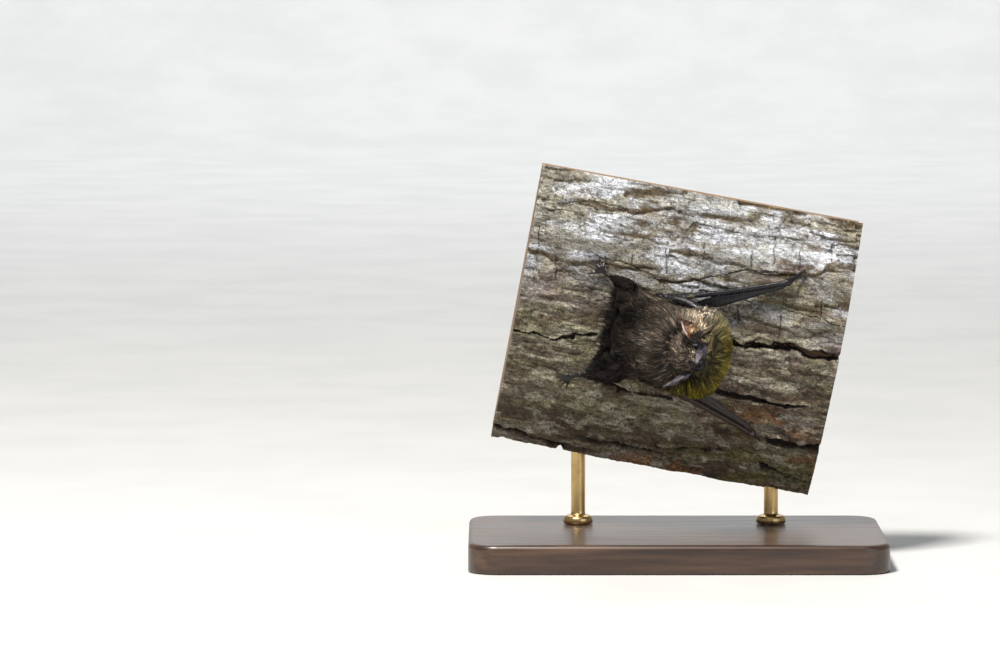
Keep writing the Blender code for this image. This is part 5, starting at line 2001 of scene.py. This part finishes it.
timber.bump(pores * 0.7 + rings * 0.2, 0.25)
wood_finish = timber.set(Base_Color=timber.shade(colour, pores.ramp(0.3, 0.7, 0.75, 1.2)),
                         Roughness=pores.ramp(0.3, 0.7, 0.6, 0.85))

# the outline of the wood: the curve under the bark, one side, the split back, the other side
back_n = float(perch_low[2] - origin_mm[2])
wood_u = np.linspace(tail_end - origin_mm[0] + 0.25, head_end - origin_mm[0] - 0.25, WOOD_STATIONS)
front_turn = np.linspace(-edge + 0.3, edge - 0.3, FRONT_STEPS) / TRUNK_RADIUS
wood_radius = TRUNK_RADIUS - BARK_THICKNESS
front = np.stack([wood_radius * np.sin(front_turn), wood_radius * np.cos(front_turn) - TRUNK_RADIUS], 1)
half_v = abs(front[0, 0])
side_n = np.linspace(front[-1, 1], back_n, SIDE_STEPS + 2)[1:-1]
back_v = np.linspace(half_v, -half_v, BACK_STEPS)
outline = np.concatenate([
    front,
    np.stack([np.full(SIDE_STEPS, half_v), side_n], 1),
    np.stack([back_v, np.full(BACK_STEPS, back_n)], 1),
    np.stack([np.full(SIDE_STEPS, -half_v), side_n[::-1]], 1),
])
stations = np.broadcast_to(wood_u[:, None, None], (WOOD_STATIONS, len(outline), 1))
outlines = np.broadcast_to(outline, (WOOD_STATIONS, *outline.shape))
sections = np.concatenate([stations, outlines], 2).copy()
torn = fibre(sections[:, :, 0], sections[:, :, 1], 26, 2.2, 180) * 1.3
split = slice(FRONT_STEPS + SIDE_STEPS, FRONT_STEPS + SIDE_STEPS + BACK_STEPS)
sections[:, split, 2] += torn[:, split] * np.minimum(1, (half_v - np.abs(sections[:, split, 1])) / 3)
wood_points, wood_quads, wood_caps = sleeve(sections)
wood_ends = [cap[::-1] for cap in wood_caps]
piece("split_wood", wood_points, wood_quads[:, ::-1], wood_finish, "bark", wood_ends)
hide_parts("perch_trunk_piece")
print("wood piece:", len(wood_points), "vertices")
# %% [markdown]
# ## Display stand
#
# A stained wooden base and two brass rods carry the piece of trunk where the whole tree carried it
# in life. They stay plain and dark so that the bat is what one looks at. The base is drawn again with
# a finer rounded edge, and the rods with a smooth turned collar.


# %% Stand
BASE_CORNER = 0.009
BASE_HEIGHT = 0.009
COLLAR = [  # radius and height of the turned collar at the foot of a rod, in millimetres
    (4.3, 0.0), (4.6, 0.3), (4.6, 1.3), (4.5, 1.8), (4.15, 2.25),
    (3.6, 2.5), (2.9, 2.6), (2.45, 2.75), (2.2, 3.1),
]
ROD_SIDES = 48


def rounded_base():
    """Rounded slab: sections stacked upwards, each a rounded rectangle drawn in at the edge."""
    (x0, y0, z0), (x1, y1, z1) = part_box("stand_base")
    half_x, half_y = (x1 - x0) / 2, (y1 - y0) / 2
    sections = []
    steps = [(1.2, 0.0), (0.35, 0.1), (0.0, 0.5)] + [(0.0, z) for z in np.linspace(1.0, 7.2, 6)]
    turn = np.linspace(0, math.pi / 2, 8)
    steps += [(1.6 * (1 - math.cos(a)), 7.4 + 1.6 * math.sin(a)) for a in turn]
    steps += [(inset, 9.0) for inset in (3.0, 6.0, 12.0, 24.0, 36.0)]
    for inset, height in steps:
        inset = inset * MM
        radius = max(BASE_CORNER - inset, 0.0002)
        straight = max(BASE_CORNER, inset)
        loop = []
        for quarter, (sx, sy) in enumerate(((1, 1), (-1, 1), (-1, -1), (1, -1))):
            for angle in np.linspace(0, math.pi / 2, 10) + quarter * math.pi / 2:
                loop.append((sx * (half_x - straight) + radius * math.cos(angle),
                             sy * (half_y - straight) + radius * math.sin(angle),
                             z0 + height * MM * (z1 - z0) / BASE_HEIGHT))
        sections.append(loop)
    return sleeve(np.array(sections))


base_wood = Finish("stand_wood", Coat_Weight=0.35, Coat_Roughness=0.25)
long_grain = base_wood.noise(3.0, 5, 0.6, (0.07, 1.0, 1.0))
figure = base_wood.noise(9.0, 3, 0.5, (0.12, 1.0, 1.0))
colour = base_wood.mix((0.028, 0.014, 0.009), (0.085, 0.044, 0.024), long_grain.ramp(0.32, 0.7))
colour = base_wood.shade(colour, figure.ramp(0.3, 0.7, 0.75, 1.25))
base_wood.bump(long_grain, 0.05)
base_finish = base_wood.set(Base_Color=colour, Roughness=long_grain.ramp(0.3, 0.7, 0.34, 0.48))
base_points, base_quads, base_caps = rounded_base()
base = piece("stand_board", base_points, base_quads, base_finish, "stand_wood", base_caps, in_world=True)
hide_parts("stand_base")

brass = Finish("brushed_brass", Metallic=1.0)
brushing = brass.noise(1.5, 4, 0.6, (1.0, 1.0, 0.06))
tarnish = brass.noise(7.0, 3)
colour = brass.mix((0.60, 0.42, 0.19), (0.42, 0.27, 0.12), tarnish.ramp(0.45, 0.75))
brass.bump(brushing, 0.02)
brass_finish = brass.set(Base_Color=colour, Roughness=brushing.ramp(0.3, 0.7, 0.24, 0.4))
for number in (1, 2):
    (x0, y0, z0), (x1, y1, z1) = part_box(f"stand_rod_{number}")
    middle = np.array([(x0 + x1) / 2, (y0 + y1) / 2])
    profile = COLLAR + [(2.2, z) for z in np.linspace(4, (z1 - z0) / MM - 0.5, 14)]
    profile += [(2.0, (z1 - z0) / MM - 0.1), (1.7, (z1 - z0) / MM)]
    angle = np.linspace(0, math.tau, ROD_SIDES, endpoint=False)
    turned = []
    for r, z in profile:
        round_x, round_y = middle[0] + r * MM * np.cos(angle), middle[1] + r * MM * np.sin(angle)
        turned.append(np.stack([round_x, round_y, np.full(ROD_SIDES, z0 + z * MM)], 1))
    rod_points, rod_quads, rod_caps = sleeve(np.array(turned))
    label = f"stand_pin_{number}"
    rod = piece(label, rod_points, rod_quads, brass_finish, "stand_brass", rod_caps, in_world=True)
    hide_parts(f"stand_rod_{number}")
    print("rod", number, "is", round((z1 - z0) / MM, 1), "mm high")

# %% [markdown]
# ## Floor and backdrop
#
# A pale sheet of card sweeps up behind the model in one curve, so there is no horizon line.

# %% Sweep
paper = Finish("backdrop_card", Roughness=0.9, Specular_IOR_Level=0.1)
tooth = paper.noise(60, 3)
paper_finish = paper.set(Base_Color=paper.mix((0.60, 0.61, 0.61), (0.64, 0.645, 0.645), tooth.ramp(0.3, 0.7)))
profile = [(-4.0, 0.0), (-1.0, 0.0), (2.2, 0.0)]
profile += [(2.2 + 0.8 * math.sin(a), 0.8 - 0.8 * math.cos(a)) for a in np.linspace(0.1, math.pi / 2, 14)]
profile += [(3.0, 1.8), (3.0, 3.2)]
mesh = bpy.data.meshes.new("backdrop")
corners = [(x, y, z) for y, z in profile for x in (-4.0, 4.0)]
mesh.from_pydata(corners, [], [(2 * k, 2 * k + 1, 2 * k + 3, 2 * k + 2) for k in range(len(profile) - 1)])
mesh.materials.append(paper_finish)
mesh.shade_smooth()
sweep = bpy.data.objects.new("backdrop", mesh)
scene.collection.objects.link(sweep)
sweep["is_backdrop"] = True
print("backdrop:", len(mesh.polygons), "strips")

# %% [markdown]
# ## Sizes
#
# The box of the finished model is set against the box of the solids, and how far each
# side has grown is printed in millimetres.

# %% Sizes
model_box = [list(corner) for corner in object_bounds()]
grown = [round((b - a) / MM, 2) for a, b in zip(cad_box[0] + cad_box[1], model_box[0] + model_box[1])]
print("box grows by (mm):", grown)
